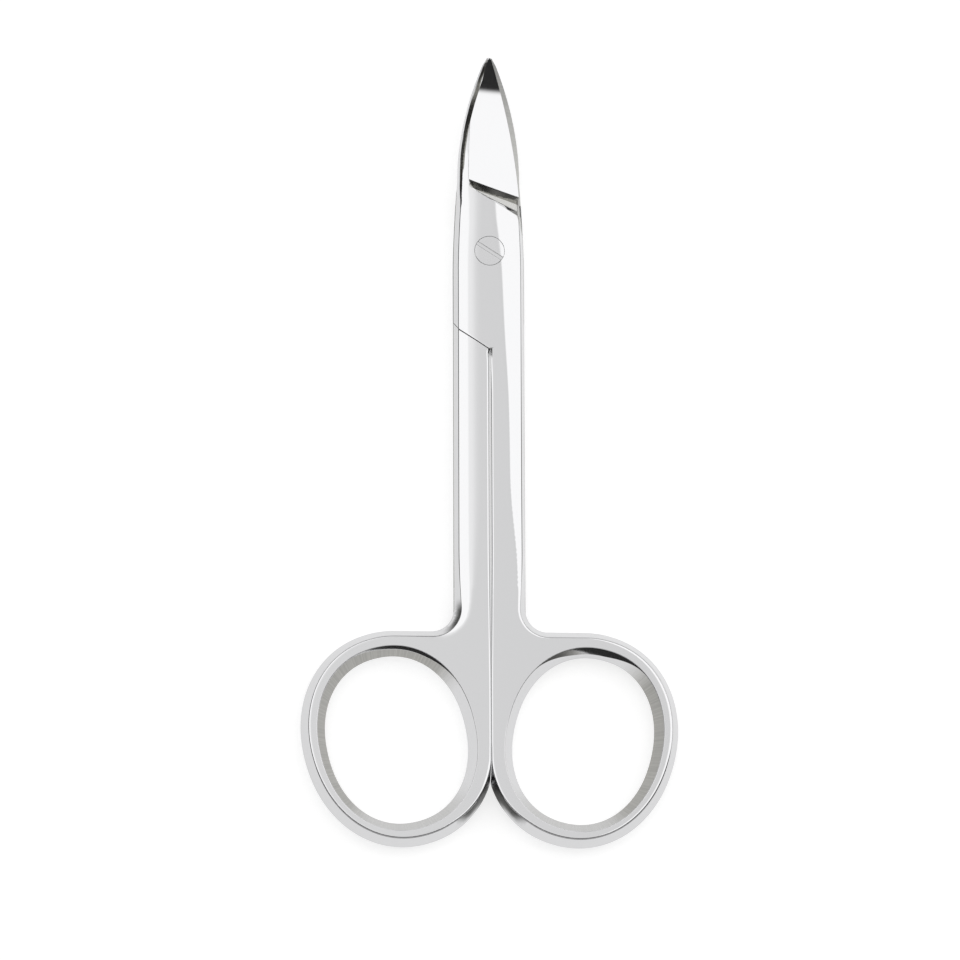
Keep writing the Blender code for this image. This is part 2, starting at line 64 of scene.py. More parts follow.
def length(name, default, description):
    return bpy.props.FloatProperty(
        name=name, default=default, description=description, unit="LENGTH", precision=5, min=0.0
    )


def colour(name, default, description):
    return bpy.props.StringProperty(name=name, default=default, description=description)


def share_of(name, default, description, high=1.0):
    return bpy.props.FloatProperty(name=name, default=default, description=description, min=0.0, max=high)


class ScissorSizes(bpy.types.PropertyGroup):
    """Main sizes of the pair, in metres."""

    thickness: length("Thickness", 0.0040, "Front face to rear face of the closed pair")
    body_width: length("Body width", 0.0094, "Width across both closed shanks")
    blade_width: length("Blade width", 0.00826, "Width of a blade at its root")
    blade_rise: length("Blade rise", 0.0024, "How far the tips curve forward")
    hole_half_length: length("Hole half length", 0.01090, "Half the long measure of a finger hole")
    hole_half_width: length("Hole half width", 0.00905, "Half the short measure of a finger hole")
    band_lengthwise: length("Band lengthwise", 0.00325, "Steel round the hole at its long ends")
    band_crosswise: length("Band crosswise", 0.00330, "Steel round the hole at its sides")
    crown_drop: length("Crown drop", 0.00027, "How much lower the face is at its rounded sides")
    head_diameter: length("Screw head", 0.00391, "Diameter of the flush screw head")
    slot_width: length("Slot width", 0.00039, "Width of the driver slot")


class SteelFinish(bpy.types.PropertyGroup):
    """Colours and finishes of the steel."""

    polish: colour("Polished steel", "#D0D0D1", "Colour of the mirror-polished steel, as an sRGB hex value")
    satin: colour("Satin steel", "#CFCFCC", "Colour of the ground, unpolished steel, as an sRGB hex value")
    screw: colour("Screw steel", "#CFCFD0", "Colour of the screw, as an sRGB hex value")
    # The rough-ground colour is ground steel darkened as painted shade, for the step, the spine strip and
    # the outline line
    rough: colour("Rough-ground steel", "#96958F", "Colour of the spine and the step, sRGB hex value")
    ring_side: colour("Ring side steel", "#BFBEBA", "Colour of the finger holes' sides, sRGB hex value")
    # The corner colour is painted shade: dark steel for corners where the parts shade each other
    corner: colour("Corner steel", "#4C4C4A", "Colour of corners that no wheel reaches, sRGB hex value")
    polish_roughness: share_of("Polish roughness", 0.045, "Roughness of the mirror polish")
    satin_roughness: share_of("Satin roughness", 0.34, "Roughness of the ground steel")


class StudioLight(bpy.types.PropertyGroup):
    """Floor and light levels."""

    floor: colour("Floor", "#B8B8B8", "Colour of the floor, as an sRGB hex value")
    zenith: share_of("Overhead panel", 1.31, "Brightness of the grey panel overhead", 4.0)
    boxes: share_of("Side soft boxes", 1.87, "Brightness of the soft boxes left and right", 4.0)
    strips: share_of("Strip lights", 0.85, "Brightness of the strip lights before and behind the table", 4.0)
    dark: share_of("Dark surround", 0.042, "Brightness of the unlit room", 4.0)
    glow: share_of("Floor glow", 0.71, "Light given off by the lit table itself", 4.0)


# Shapes in the plane


def smoothstep(value, low, high):
    """A smooth rise from 0 to 1 between two values: three squares of the share less two cubes."""
    share = np.clip((value - low) / (high - low), 0.0, 1.0)
    return share * share * (3.0 - 2.0 * share)


def evenly(path, step):
    """The path again with points at equal steps along it, about one step apart, both ends kept."""
    along = np.concatenate([[0.0], np.cumsum(np.hypot(*np.diff(path, axis=0).T))])
    wanted = np.linspace(0.0, along[-1], max(2, int(round(along[-1] / step)) + 1))
    return np.stack([np.interp(wanted, along, path[:, axis]) for axis in (0, 1)], axis=1)


def blade_share(y):
    """How far along the blade a place lies: 0 at its root and 1 at the tip."""
    return np.clip((y - BLADE_ROOT_Y) / (PIVOT_TO_TIP - BLADE_ROOT_Y), 0.0, 1.0)


TAPER_START_Y = -0.0025
TAPER_POWER = 1.6
TIP_NARROWING_SHARE = 0.89
TIP_TRIM = 0.00017
TIP_TRIM_FROM = 0.93


def half_width(s, y):
    """Half the pair's width: a power of the way down the taper, then a parabola that narrows to the tip."""
    ease = np.clip((y - TAPER_START_Y) / (BLADE_ROOT_Y - TAPER_START_Y), 0.0, 1.0) ** TAPER_POWER
    body = s.body_width / 2 - (s.body_width - s.blade_width) / 2 * ease
    share = blade_share(y)
    return body * (1.0 - TIP_NARROWING_SHARE * share**2) - TIP_TRIM * smoothstep(share, TIP_TRIM_FROM, 1.0)


def rounded_oval(centre, half_length, half_width_, tilt_deg, squareness, count=2880):
    """A superellipse turned by its tilt, anticlockwise and closed: half measures times signed powers."""
    turn = np.linspace(0.0, 2.0 * np.pi, count + 1)
    power = 2.0 / squareness
    along = half_length * np.sign(np.cos(turn)) * np.abs(np.cos(turn)) ** power
    across = half_width_ * np.sign(np.sin(turn)) * np.abs(np.sin(turn)) ** power
    tilt = np.radians(tilt_deg)
    x = centre[0] + along * np.cos(tilt) - across * np.sin(tilt)
    y = centre[1] + along * np.sin(tilt) + across * np.cos(tilt)
    return np.stack([x, y], axis=1)


def left_normals(line):
    """Unit normals on the left of a line's direction of travel."""
    ahead = np.gradient(line, axis=0)
    ahead /= np.hypot(*ahead.T)[:, None]
    return np.stack([-ahead[:, 1], ahead[:, 0]], axis=1)


def nearest(line, points):
    """Nearest places on an open line of even samples.

    Gives the signed distance, positive on the line's left, the place as a fractional sample number, and the
    line's normal there.
    """
    distance = np.empty(len(points))
    place = np.empty(len(points))
    stride = 8
    coarse = line[::stride]
    window = np.arange(-stride - 2, stride + 2)
    for start in range(0, len(points), 6000):
        part = points[start : start + 6000]
        away = ((part[:, None, :] - coarse[None]) ** 2).sum(axis=2)
        first = away.argmin(axis=1) * stride
        index = np.clip(first[:, None] + window, 0, len(line) - 2)
        a, b = line[index], line[index + 1]
        step = b - a
        share = ((part[:, None] - a) * step).sum(axis=2) / (step**2).sum(axis=2)
        share = np.clip(share, 0.0, 1.0)
        gap = part[:, None] - a - share[..., None] * step
        best = (gap**2).sum(axis=2).argmin(axis=1)
        rows = np.arange(len(part))
        distance[start : start + 6000] = np.hypot(*gap[rows, best].T)
        place[start : start + 6000] = index[rows, best] + share[rows, best]
    normals = left_normals(line)
    normal = along_line(normals, place)
    normal /= np.hypot(*normal.T)[:, None]
    foot = along_line(line, place)
    side = np.sign(((points - foot) * normal).sum(axis=1))
    return np.where(side == 0.0, 1.0, side) * distance, place, normal


def along_line(values, place):
    """A line's values at fractional sample numbers."""
    low = np.clip(place.astype(int), 0, len(values) - 2)
    share = place - low
    if values.ndim == 2:
        share = share[:, None]
    return values[low] + (values[low + 1] - values[low]) * share


def inside(points, outline):
    """Which points lie inside a closed outline of few corners, by counting crossings."""
    hit = np.zeros(len(points), bool)
    x, y = points.T
    for (ax, ay), (bx, by) in zip(outline, np.roll(outline, -1, axis=0)):
        if ay == by:
            continue
        crosses = (ay > y) != (by > y)
        hit ^= crosses & (x < ax + (bx - ax) * (y - ay) / (by - ay))
    return hit


def lower_of(one, two, blend):
    """Heights and slopes of the lower of two surfaces, with the edge between them rounded over the blend."""
    (a, slope_a), (b, slope_b) = one, two
    share = np.clip(0.5 + 0.5 * (b - a) / blend, 0.0, 1.0)
    height = b + (a - b) * share - blend * share * (1.0 - share)
    return height, slope_b + (slope_a - slope_b) * share[:, None]


DIFFERENCE_STEP = 2e-6


def slopes_of(surface, x, y):
    """Height of a surface z(x, y) with its slopes by central differences."""
    h = DIFFERENCE_STEP
    slope_x = (surface(x + h, y) - surface(x - h, y)) / (2 * h)
    slope_y = (surface(x, y + h) - surface(x, y - h)) / (2 * h)
    return surface(x, y), np.stack([slope_x, slope_y], axis=1)


# The form that both halves share


OUTLINE_STEP = 0.0001
# How far the fine outline keeps inside the solids' own
CAD_INSET = 0.00001
TIP_ROUND = 0.00028
ROOT_ROUND = 0.0029
RING_TILT_DEG = 74.0
RING_SQUARENESS = 2.09
# How far the left side of the right ring passes the middle, where the two rings are cut to meet
RING_MEETING_DEPTH = 0.00063


def outline_samples(s):
    """The right side of the closed pair from the tip round the ring, past the notch to the ring's far side.

    A tip round, the blade's parabola, the straight body, a quarter round into a level line and the ring's
    superellipse from its highest point, joined and cut into even steps. The pair lies on its right.
    """
    apex_y = PIVOT_TO_TIP - CAD_INSET
    top_y = apex_y - TIP_ROUND
    turn = np.linspace(0.0, np.pi / 2, 40)
    tip_x = max(float(half_width(s, top_y)) - TIP_ROUND, 0.0)
    tip = np.stack([tip_x + TIP_ROUND * np.sin(turn), top_y + TIP_ROUND * np.cos(turn)], axis=1)
    measures = (
        s.hole_half_length + s.band_lengthwise - CAD_INSET,
        s.hole_half_width + s.band_crosswise - CAD_INSET,
        RING_TILT_DEG,
        RING_SQUARENESS,
    )
    lowest = rounded_oval((0.0, 0.0), *measures).min(axis=0)
    centre = (-RING_MEETING_DEPTH - lowest[0], CAD_INSET - PIVOT_TO_RING_END - lowest[1])
    ring = rounded_oval(centre, *measures)[:-1]
    meet = int(ring[:, 1].argmax())
    x, y = s.body_width / 2 + ROOT_ROUND, ring[meet, 1] + ROOT_ROUND
    side_y = np.arange(top_y, y, -OUTLINE_STEP)
    side = np.stack([half_width(s, side_y), side_y], axis=1)
    turn = np.linspace(np.pi, 1.5 * np.pi, 60)
    fillet = np.array([x, y]) + ROOT_ROUND * np.stack([np.cos(turn), np.sin(turn)], axis=1)
    clockwise = np.roll(np.roll(ring, -meet, axis=0)[::-1], 1, axis=0)
    far = int(clockwise[:, 0].argmin())
    upper = np.vstack([[[0.0, apex_y]], tip, side, fillet])
    whole = evenly(np.vstack([upper, clockwise[:far]]), OUTLINE_STEP)
    on_ring = np.hypot(*np.diff(upper, axis=0).T).sum() / np.hypot(*np.diff(whole, axis=0).T).sum()
    return whole, on_ring * (len(whole) - 1), centre


# How wide the face's rounded sides are: rows of the place along the pair and the width there, in mm
CROWN_RIGHT = (
    (6.0, 4.05),
    (0.0, 3.15),
    (-5.0, 2.85),
    (-11.0, 2.55),
    (-15.0, 2.2),
    (-20.0, 1.82),
    (-33.0, 1.66),
    (-41.0, 0.66),
    (-47.0, 0.35),
)
CROWN_LEFT = ((0.0, 2.9), (-36.0, 2.9), (-45.0, 2.2), (-49.0, 1.2), (-51.0, 0.35))
RING_CROWN = 0.00035
# Outline samples on each side that the widths are averaged over
CROWN_SMOOTHING = 30


def crown_along(y, on_ring, table):
    """The crown's width at every outline sample: straight between the table's rows, then averaged twice."""
    rows = np.array(table[::-1]) * MM
    width = np.where(on_ring, RING_CROWN, np.interp(y, rows[:, 0], rows[:, 1]))
    count = 2 * CROWN_SMOOTHING + 1
    for _ in range(2):
        before, after = np.full(CROWN_SMOOTHING, width[0]), np.full(CROWN_SMOOTHING, width[-1])
        width = np.convolve(np.concatenate([before, width, after]), np.full(count, 1.0 / count), "valid")
    return width


# How far the sides slope in from the outline to the face, on each stretch, and where the stretches change
BODY_DRAFT = 0.00056
BLADE_DRAFT = 0.00028
RING_DRAFT = 0.00092
BODY_TO_RING_Y = (0.0401, 0.0510)
BODY_TO_BLADE_Y = (0.0060, 0.0099)
# Between the rings the draft is narrower, and it is whole again this far to the side
NOTCH_DRAFT_SHARE = 0.60
NOTCH_FADE_X = 0.0050
BEVEL_WIDTH = 0.00006
CORNER_BLEND = 0.00006
RING_CORNER_BLEND = 0.00024
# The chamfer along the blade's spine, and the most that draft and chamfer take of the half width
CHAMFER_Y = (0.0005, 0.0099)
CHAMFER_WIDTH = 0.00050
DRAFT_SHARE = 0.24
CHAMFER_SHARE = 0.22
LEAST_HALF_WIDTH = 0.00001

HOLE_OFFSET = (0.00017, -0.00015)
HOLE_TILT_DEG = 76.5
HOLE_SQUARENESS = 2.14
HOLE_STEP = 0.00005

# The joint's shoulder: a slanted line across the body that turns down between the shanks
SHOULDER_CENTRE_Y = -0.0133
SHOULDER_RISE = 0.0031
SHOULDER_HALF_GAP = 0.00005
SHOULDER_ROUND = 0.0004
SHOULDER_CORNER_X = 0.00023
# Over this width near the outline the shoulder is steeper by this many times its slope
SHOULDER_BEND_WIDTH = 0.0006
SHOULDER_BEND_FACTOR = 13 / 6
# How far cutting lines run past the outline
OVERRUN = 0.0010
# The edge between the shanks, from the joint down to the rings' end
SHANK_EDGE = ((0.00017, -0.0150), (0.00017, -0.0400), (0.00005, -0.0570), (0.00005, -0.0800))
SHANK_EDGE_FROM_Y = -0.0132
LINE_STEP = 0.0001
FAR = 0.1


def make_form(s):
    """Everything that the shapes of both halves are worked out from."""
    f = SimpleNamespace(s=s, top=s.thickness, middle=s.thickness / 2)
    f.outline, ring_from, centre = outline_samples(s)
    # Travel is clockwise round the pair, so its inside is on the right: turn it for the signed distance
    f.outline = f.outline[::-1].copy()
    count = len(f.outline)
    on_ring = count - 1 - np.arange(count) > ring_from
    y = f.outline[:, 1]
    ring = np.where(on_ring, 1.0, smoothstep(-y, *BODY_TO_RING_Y))
    blade = smoothstep(y, *BODY_TO_BLADE_Y)
    body = 1.0 - ring - blade
    notch = NOTCH_DRAFT_SHARE + (1.0 - NOTCH_DRAFT_SHARE) * smoothstep(f.outline[:, 0], 0.0, NOTCH_FADE_X)
    f.draft = (body * BODY_DRAFT + blade * BLADE_DRAFT + ring * RING_DRAFT) * np.where(on_ring, notch, 1.0)
    f.bevel = body * BEVEL_WIDTH
    f.corner = CORNER_BLEND + ring * (RING_CORNER_BLEND - CORNER_BLEND)
    f.crown_right = crown_along(y, on_ring, CROWN_RIGHT)
    f.crown_left = crown_along(y, on_ring, CROWN_LEFT)
    f.chamfer = smoothstep(y, *CHAMFER_Y)
    room = np.where(y > BLADE_ROOT_Y, np.maximum(half_width(s, y), LEAST_HALF_WIDTH), 1.0)
    f.draft = np.minimum(f.draft, room * DRAFT_SHARE)
    f.chamfer_width = np.minimum(CHAMFER_WIDTH, room * CHAMFER_SHARE)
    hole_centre = centre[0] + HOLE_OFFSET[0], centre[1] + HOLE_OFFSET[1]
    hole_measures = s.hole_half_length, s.hole_half_width, HOLE_TILT_DEG, HOLE_SQUARENESS
    hole = rounded_oval(hole_centre, *hole_measures, 1440)
    # Anticlockwise travel has the hole on its left, so it is turned to give distance outwards
    f.hole = evenly(hole[::-1], HOLE_STEP)
    slope = SHOULDER_RISE / (s.body_width / 2)
    beyond = s.body_width / 2 + OVERRUN

    def shoulder(shift, corner_x):
        """A slanted line with its outer end bent up and its inner corner rounded by a parabola."""
        corner = np.array([corner_x, SHOULDER_CENTRE_Y + shift - slope * corner_x])
        outer = np.array([-beyond, corner[1] + slope * (corner_x + beyond)])
        back = (outer - corner) / np.hypot(*(outer - corner))
        to_knee = (s.body_width / 2 - SHOULDER_BEND_WIDTH + corner_x) / (beyond + corner_x)
        knee = corner + (outer - corner) * to_knee
        outer = outer + (0.0, SHOULDER_BEND_FACTOR * (outer[1] - knee[1]))
        first, last = corner + back * SHOULDER_ROUND, corner - (0.0, SHOULDER_ROUND)
        share = np.linspace(0.0, 1.0, 12)[:, None]
        bend = (1 - share) ** 2 * first + 2 * share * (1 - share) * corner + share**2 * last
        return np.vstack([outer, knee, bend])

    own = shoulder(SHOULDER_HALF_GAP, SHOULDER_CORNER_X)
    f.own_line = evenly(np.vstack([own, SHANK_EDGE]), LINE_STEP)
    f.contact_line = f.own_line[f.own_line[:, 1] < SHANK_EDGE_FROM_Y]
    other = shoulder(-SHOULDER_HALF_GAP, 0.0) * (-1.0, 1.0)
    other = other[other[:, 0] > 0.0]
    inner_y = other[-1, 1]
    f.other_line = evenly(np.vstack([other, [[0.0, inner_y]]])[::-1], LINE_STEP)
    f.handle_place = np.vstack([own, SHANK_EDGE, [[-FAR, SHANK_EDGE[-1][1]], [-FAR, own[0, 1]]]])
    round_blade = [[0.0, inner_y], [-FAR, inner_y], [-FAR, FAR], [FAR, FAR], [FAR, other[0, 1]]]
    f.layer_place = np.vstack([other, round_blade])
    return f


EDGE_ROOT_Y = 0.0066
EDGE_ROOT_INSET = 0.00019
EDGE_TIP_X = 0.00012
EDGE_BOW = 0.00066


def edge_x(f, y):
    """The cutting edge: a chord from root to tip plus a parabola for its bow."""
    share = np.clip((y - EDGE_ROOT_Y) / (PIVOT_TO_TIP - EDGE_ROOT_Y), 0.0, 1.0)
    root = half_width(f.s, EDGE_ROOT_Y) - EDGE_ROOT_INSET
    return root + (EDGE_TIP_X - root) * share + EDGE_BOW * 4.0 * share * (1.0 - share)


FACE_SIDE_ROOT_X = -0.0027
FACE_SIDE_SHIFT = 0.0018
SPINE_WIDTH = 0.00078
SPINE_SHARE = 0.46
FACE_LEAST_WIDTH = 0.0001


def face_side_x(f, y):
    """The ground face's left border: straight at the root, then along the spine chamfer's inner side."""
    slow = FACE_SIDE_ROOT_X + FACE_SIDE_SHIFT * blade_share(y) ** 3
    hw = half_width(f.s, y)
    chamfer = np.where(y > BLADE_ROOT_Y, np.minimum(SPINE_WIDTH, hw * SPINE_SHARE), SPINE_WIDTH)
    return np.maximum(slow, np.minimum(-(hw - chamfer), edge_x(f, y) - FACE_LEAST_WIDTH))


SPINE_TIP_THICKNESS = 0.00034
# Share of the blade's length over which the level face bends into its fall
ROOT_EASE_SHARE = 0.06
POINT_DROP = 0.00005
POINT_Y = (0.0245, 0.0262)


def spine_height(f, y):
    """Height of the front face: level to the blade's root, a parabola over the bend, then an even fall."""
    past = (y - BLADE_ROOT_Y) / (PIVOT_TO_TIP - BLADE_ROOT_Y)
    bend = (past + ROOT_EASE_SHARE) ** 2 / (4.0 * ROOT_EASE_SHARE)
    eased = np.where(past < -ROOT_EASE_SHARE, 0.0, np.where(past < ROOT_EASE_SHARE, bend, past))
    fall = (f.top - f.middle - SPINE_TIP_THICKNESS) * eased
    return f.top - fall + tip_lift(y) - POINT_DROP * smoothstep(y, *POINT_Y)


TIP_BEND_Y = 0.0212
TIP_BEND_LENGTH = 0.0012
TIP_BEND_SLOPE = 0.0288


def tip_lift(y):
    """How much the last millimetres bend up: a parabola, then straight on."""
    past = np.clip(y - TIP_BEND_Y, 0.0, None)
    bend = np.minimum(past, TIP_BEND_LENGTH)
    return TIP_BEND_SLOPE * (bend**2 / (2.0 * TIP_BEND_LENGTH) + past - bend)


LIP_SLANT_DEG = 17.5
LIP_CENTRE_Y = 0.00767
LIP_END_RADIUS = 0.0011


def past_lip(f, x, y):
    """Distance past the slanted line where the grinding wheel entered, and the lift of its left end.

    The lift is a quarter circle that meets the ground face's left border.
    """
    slant = np.radians(LIP_SLANT_DEG)
    straight = (y - LIP_CENTRE_Y) * np.cos(slant) + x * np.sin(slant)
    into = np.clip(LIP_END_RADIUS - (x - face_side_x(f, y)), 0.0, LIP_END_RADIUS)
    return straight, LIP_END_RADIUS - np.sqrt(np.maximum(LIP_END_RADIUS**2 - into**2, 0.0))


STEP_LENGTH = 0.00128
# Share of the step's length over which its foot is rounded
STEP_FOOT_BLEND = 0.12
BEFORE_LIP_SLOPE = 0.003
FACE_FALL = 0.153
WHEEL_RADIUS = 0.048
NARROWEST_FACE = 0.00002
PAST_EDGE = 1.2
# Left of its border the ground face rises by this much over this width
BORDER_RISE = 0.0009
BORDER_WIDTH = 0.00008
# How far each lap face keeps from the middle between the halves
LAP_GAP = 0.00008
EDGE_THICKNESS = 0.00016


def ground_height(f, x, y):
    """The ground front: a straight slope down from the lip, then a hollow face that falls to the edge.

    Across the blade the face is a straight fall with a wheel's shallow arc cut into it; the tip bends up.
    """
    side, edge = face_side_x(f, y), edge_x(f, y)
    width = np.maximum(edge - side, NARROWEST_FACE)
    across = np.clip((x - side) / width, 0.0, PAST_EDGE)
    edge_height = f.middle + LAP_GAP + EDGE_THICKNESS
    hollow = width**2 / (8.0 * WHEEL_RADIUS)
    face = edge_height + FACE_FALL * (edge - side) * (1.0 - across) - hollow * 4.0 * across * (1.0 - across)
    face = face + tip_lift(y)
    ramp = face + (side - x) / BORDER_WIDTH * BORDER_RISE
    pocket = np.where(x < side, ramp, face)
    straight, shift = past_lip(f, x, y)
    share = (straight - shift) / (STEP_LENGTH - shift)
    step = blend_min(np.clip(share, 0.0, None), np.ones_like(share), STEP_FOOT_BLEND)
    return np.where(share > 0.0, f.top + (pocket - f.top) * step, f.top - share * BEFORE_LIP_SLOPE)


# The scoop below the lip starts at a slanted line through this place
SCOOP_SLANT_DEG = 30.8
SCOOP_X = -0.00188
SCOOP_Y = 0.0082
SCOOP_SLOPE = 0.02
SCOOP_FOOT_BLEND = 0.15
# Where the wall starts to grow, over what length, its least measure and what is added to it
SCOOP_DEPTH_GROWTH = (-0.0019, 0.0053, 0.00002, 0.00036)
SCOOP_WALL_GROWTH = (-0.0010, 0.0045, 0.00008, 0.00052)
SCOOP_WALL_POWER = 1.3
SCOOP_LEFT_FADE = 0.0008
GROUND_END_Y = 0.0090
# The facet along the right edge is a plane past a line through this place, with this direction across it
FACET_X = 0.00406
FACET_Y = 0.00366
FACET_ACROSS = (0.942, 0.336)
FACET_SLOPE_DEG = 14.0
FACET_REACH = 0.002


def facet_depth(f, x, y):
    """Depth of the small scoop below the lip and of the facet along the right edge.

    The scoop starts at a slanted line with a short straight wall that gets deeper and wider to the right,
    and goes on nearly level. The edge facet is a plane past a second line.
    """
    past = scoop_distance(x, y)
    start, reach, least, added = SCOOP_DEPTH_GROWTH
    deep = least + added * np.clip((x - start) / reach, 0.0, 1.0)
    wall = deep * blend_min(past / scoop_wall(x), np.ones_like(past), SCOOP_FOOT_BLEND)
    side = face_side_x(f, y)
    scoop = np.where((past > 0.0) & (y < GROUND_END_Y), wall + SCOOP_SLOPE * past, 0.0)
    scoop = scoop * smoothstep(x, side, side + SCOOP_LEFT_FADE)
    into = (x - FACET_X) * FACET_ACROSS[0] + (y - FACET_Y) * FACET_ACROSS[1]
    fall = np.tan(np.radians(FACET_SLOPE_DEG))
    facet = np.where(y < GROUND_END_Y, fall * np.clip(into, 0.0, FACET_REACH), 0.0)
    return np.maximum(scoop, facet)


def scoop_distance(x, y):
    """Distance past the slanted line where the scoop starts."""
    slant = np.radians(SCOOP_SLANT_DEG)
    return (y - SCOOP_Y) * np.cos(slant) + (x - SCOOP_X) * np.sin(slant)


def scoop_wall(x):
    """Width of the scoop's own small wall: it grows to the right by a power."""
    start, reach, least, added = SCOOP_WALL_GROWTH
    return least + added * np.clip((x - start) / reach, 0.0, 1.0) ** SCOOP_WALL_POWER


def place_on_outline(f, points):
    """Distance from the outline, the place along it, its normal there, and the side of the middle."""
    flip = np.where(points[:, 0] < 0.0, -1.0, 1.0)
    # Left of the middle the outline's mirror image counts
    d, place, normal = nearest(f.outline, np.stack([points[:, 0] * flip, points[:, 1]], axis=1))
    return d, place, normal, flip


# Width at which a crown has its whole drop, and where the drop ends along the blade
FULL_CROWN_WIDTH = 0.00166
CROWN_END_Y = (0.0120, 0.0190)
WALL_UPRIGHT = 0.00003
BEVEL_SLOPE = 0.75
BEVEL_BLEND = 0.00002
CHAMFER_DEPTH = 0.00050
CHAMFER_BLEND = 0.00004
# Where steel is thinner than this the chamfer is less deep, down to the least share
CHAMFER_FULL_THICKNESS = 0.0016
CHAMFER_LEAST_SHARE = 0.3
CHAMFER_SINK = 0.0004
CLEAR_ABOVE = 0.001


def outer_form(f, found, y, left):
    """The shared outer form: a draft, a crown, a bevel and, on the blade, a chamfer, by distance inwards.

    Draft: a root curve that leaves half thickness upright and soon runs straight. Crown: a parabola that is
    level at its inner side. Bevel and chamfer: straight slopes, the chamfer sinking into the crown towards
    the body. The lowest of them counts, with the edges between them rounded.
    """
    d, place, normal, flip = found
    ahead = np.stack([normal[:, 1], -normal[:, 0]], axis=1)
    spacing = np.hypot(*(f.outline[1] - f.outline[0]))

    def height(d, place, y):
        draft = along_line(f.draft, place)
        width = np.where(left, along_line(f.crown_left, place), along_line(f.crown_right, place))
        fade = along_line(f.chamfer, place)
        top = spine_height(f, y)
        drop = f.s.crown_drop * np.clip(width / FULL_CROWN_WIDTH, 0.0, 1.0)
        drop = drop * (1.0 - smoothstep(y, *CROWN_END_Y))
        reach = np.clip(d, 0.0, None)
        rise = (reach**2 + 2.0 * WALL_UPRIGHT * reach) / (draft**2 + 2.0 * WALL_UPRIGHT * draft)
        wall = f.middle + (top - drop - f.middle) * np.sqrt(rise)
        crown = top - drop * np.clip(1.0 - (d - draft) / width, 0.0, None) ** 2
        bevel = top - drop - BEVEL_SLOPE * (draft + along_line(f.bevel, place) - d)
        face = blend_min(wall, crown, along_line(f.corner, place))
        deep = CHAMFER_DEPTH * np.clip((top - f.middle) / CHAMFER_FULL_THICKNESS, CHAMFER_LEAST_SHARE, 1.0)
        fall = deep * (1.0 - (d - draft) / along_line(f.chamfer_width, place))
        chamfer = np.where(fade > 0.0, top + (1.0 - fade) * CHAMFER_SINK - fall, top + CLEAR_ABOVE)
        return blend_min(blend_min(face, bevel, BEVEL_BLEND), chamfer, CHAMFER_BLEND)

    h = DIFFERENCE_STEP
    z = height(d, place, y)
    by_distance = (height(d + h, place, y) - height(np.maximum(d - h, 1e-9), place, y)) / (2 * h)
    by_place = (height(d, place + 0.5, y) - height(d, place - 0.5, y)) / spacing
    by_y = (height(d, place, y + h) - height(d, place, y - h)) / (2 * h)
    slope = normal * by_distance[:, None] + ahead * by_place[:, None]
    slope[:, 0] *= flip
    slope[:, 1] += by_y
    return z, slope


def blend_min(a, b, blend):
    """The lower of two heights with the edge between them rounded."""
    near = np.clip(blend - np.abs(a - b), 0.0, None)
    return np.minimum(a, b) - near**2 / (4.0 * blend)


HOLE_BAND = 0.00114
HOLE_CHAMFER_SLOPE = 1.14
HOLE_WALL_BLEND = 0.00003
HOLE_RIM_BLEND = 0.00004
LEAST_HOLE_EDGE = 0.00007
# A hole's ground edge is a crescent: its greatest width, and its direction from the centre in degrees
FACE_CRESCENT = (0.00080, 86.0)
BACK_CRESCENT = (0.00044, 97.0)
# How far from that direction the crescent starts to narrow, and where it has its least width
CRESCENT_NARROWING_DEG = (8.0, 43.0)
# Over the first pair of directions half of the belt's strokes comes in; between the others all are left
HALF_WEAR_DEG = (-152.0, -125.0)
FACE_WEAR_DEG = (-65.0, 50.0)
BACK_WEAR_DEG = (-60.0, 130.0)
WEAR_START_SOFTNESS_DEG = 12.0
WEAR_END_SOFTNESS_DEG = 14.0


def hole_turn(f, place):
    """Direction of a place on the hole's edge from the hole's centre, in degrees from -180 to 180."""
    return (HOLE_TILT_DEG - 360.0 * place / (len(f.hole) - 1) + 180.0) % 360.0 - 180.0


def hole_edge(f, place, crescent):
    """Width of a hole's ground edge: a crescent that narrows smoothly to a small break all round."""
    widest, direction = crescent
    away = np.abs(hole_turn(f, place) - direction)
    return LEAST_HOLE_EDGE + (widest - LEAST_HOLE_EDGE) * (1.0 - smoothstep(away, *CRESCENT_NARROWING_DEG))


def hole_wear(turn, low, high):
    """How much of the belt's strokes is left: half below the low direction, all of it up to the high one."""
    halves = smoothstep(turn, *HALF_WEAR_DEG)
    halves = halves + smoothstep(turn, low - WEAR_START_SOFTNESS_DEG, low + WEAR_START_SOFTNESS_DEG)
    return 0.5 * halves - smoothstep(turn, high - WEAR_END_SOFTNESS_DEG, high + WEAR_END_SOFTNESS_DEG)


def hole_form(f, points, crescent):
    """The hole's side: a straight wall from half thickness, then a straight chamfer, both rounded off."""
    d, place, normal = nearest(f.hole, points)
    edge_width = hole_edge(f, place, crescent)
    edge_drop = HOLE_CHAMFER_SLOPE * edge_width

    def height(d):
        wall_width = HOLE_BAND - edge_width
        wall = f.middle + (f.top - edge_drop - f.middle) * d / wall_width
        chamfer = f.top - edge_drop * (HOLE_BAND - d) / edge_width
        return blend_min(blend_min(wall, chamfer, HOLE_WALL_BLEND), np.full_like(d, f.top), HOLE_RIM_BLEND)

    h = DIFFERENCE_STEP
    slope = normal * ((height(d + h) - height(d - h)) / (2 * h))[:, None]
    return (height(d), slope), place


SHORT_OF_UPRIGHT = 0.985


def edge_round(line, points, width, drop):
    """How much the face is lowered near a cut line: a quarter of an ellipse, cut short of upright."""
    d, _, normal = nearest(line, points)
    share = np.clip(1.0 - np.abs(d) / width, 0.0, SHORT_OF_UPRIGHT)
    level = np.sqrt(1.0 - share**2)
    return drop * (1.0 - level), -normal * (drop * share / level / width)[:, None]


RISE_START = 0.0045


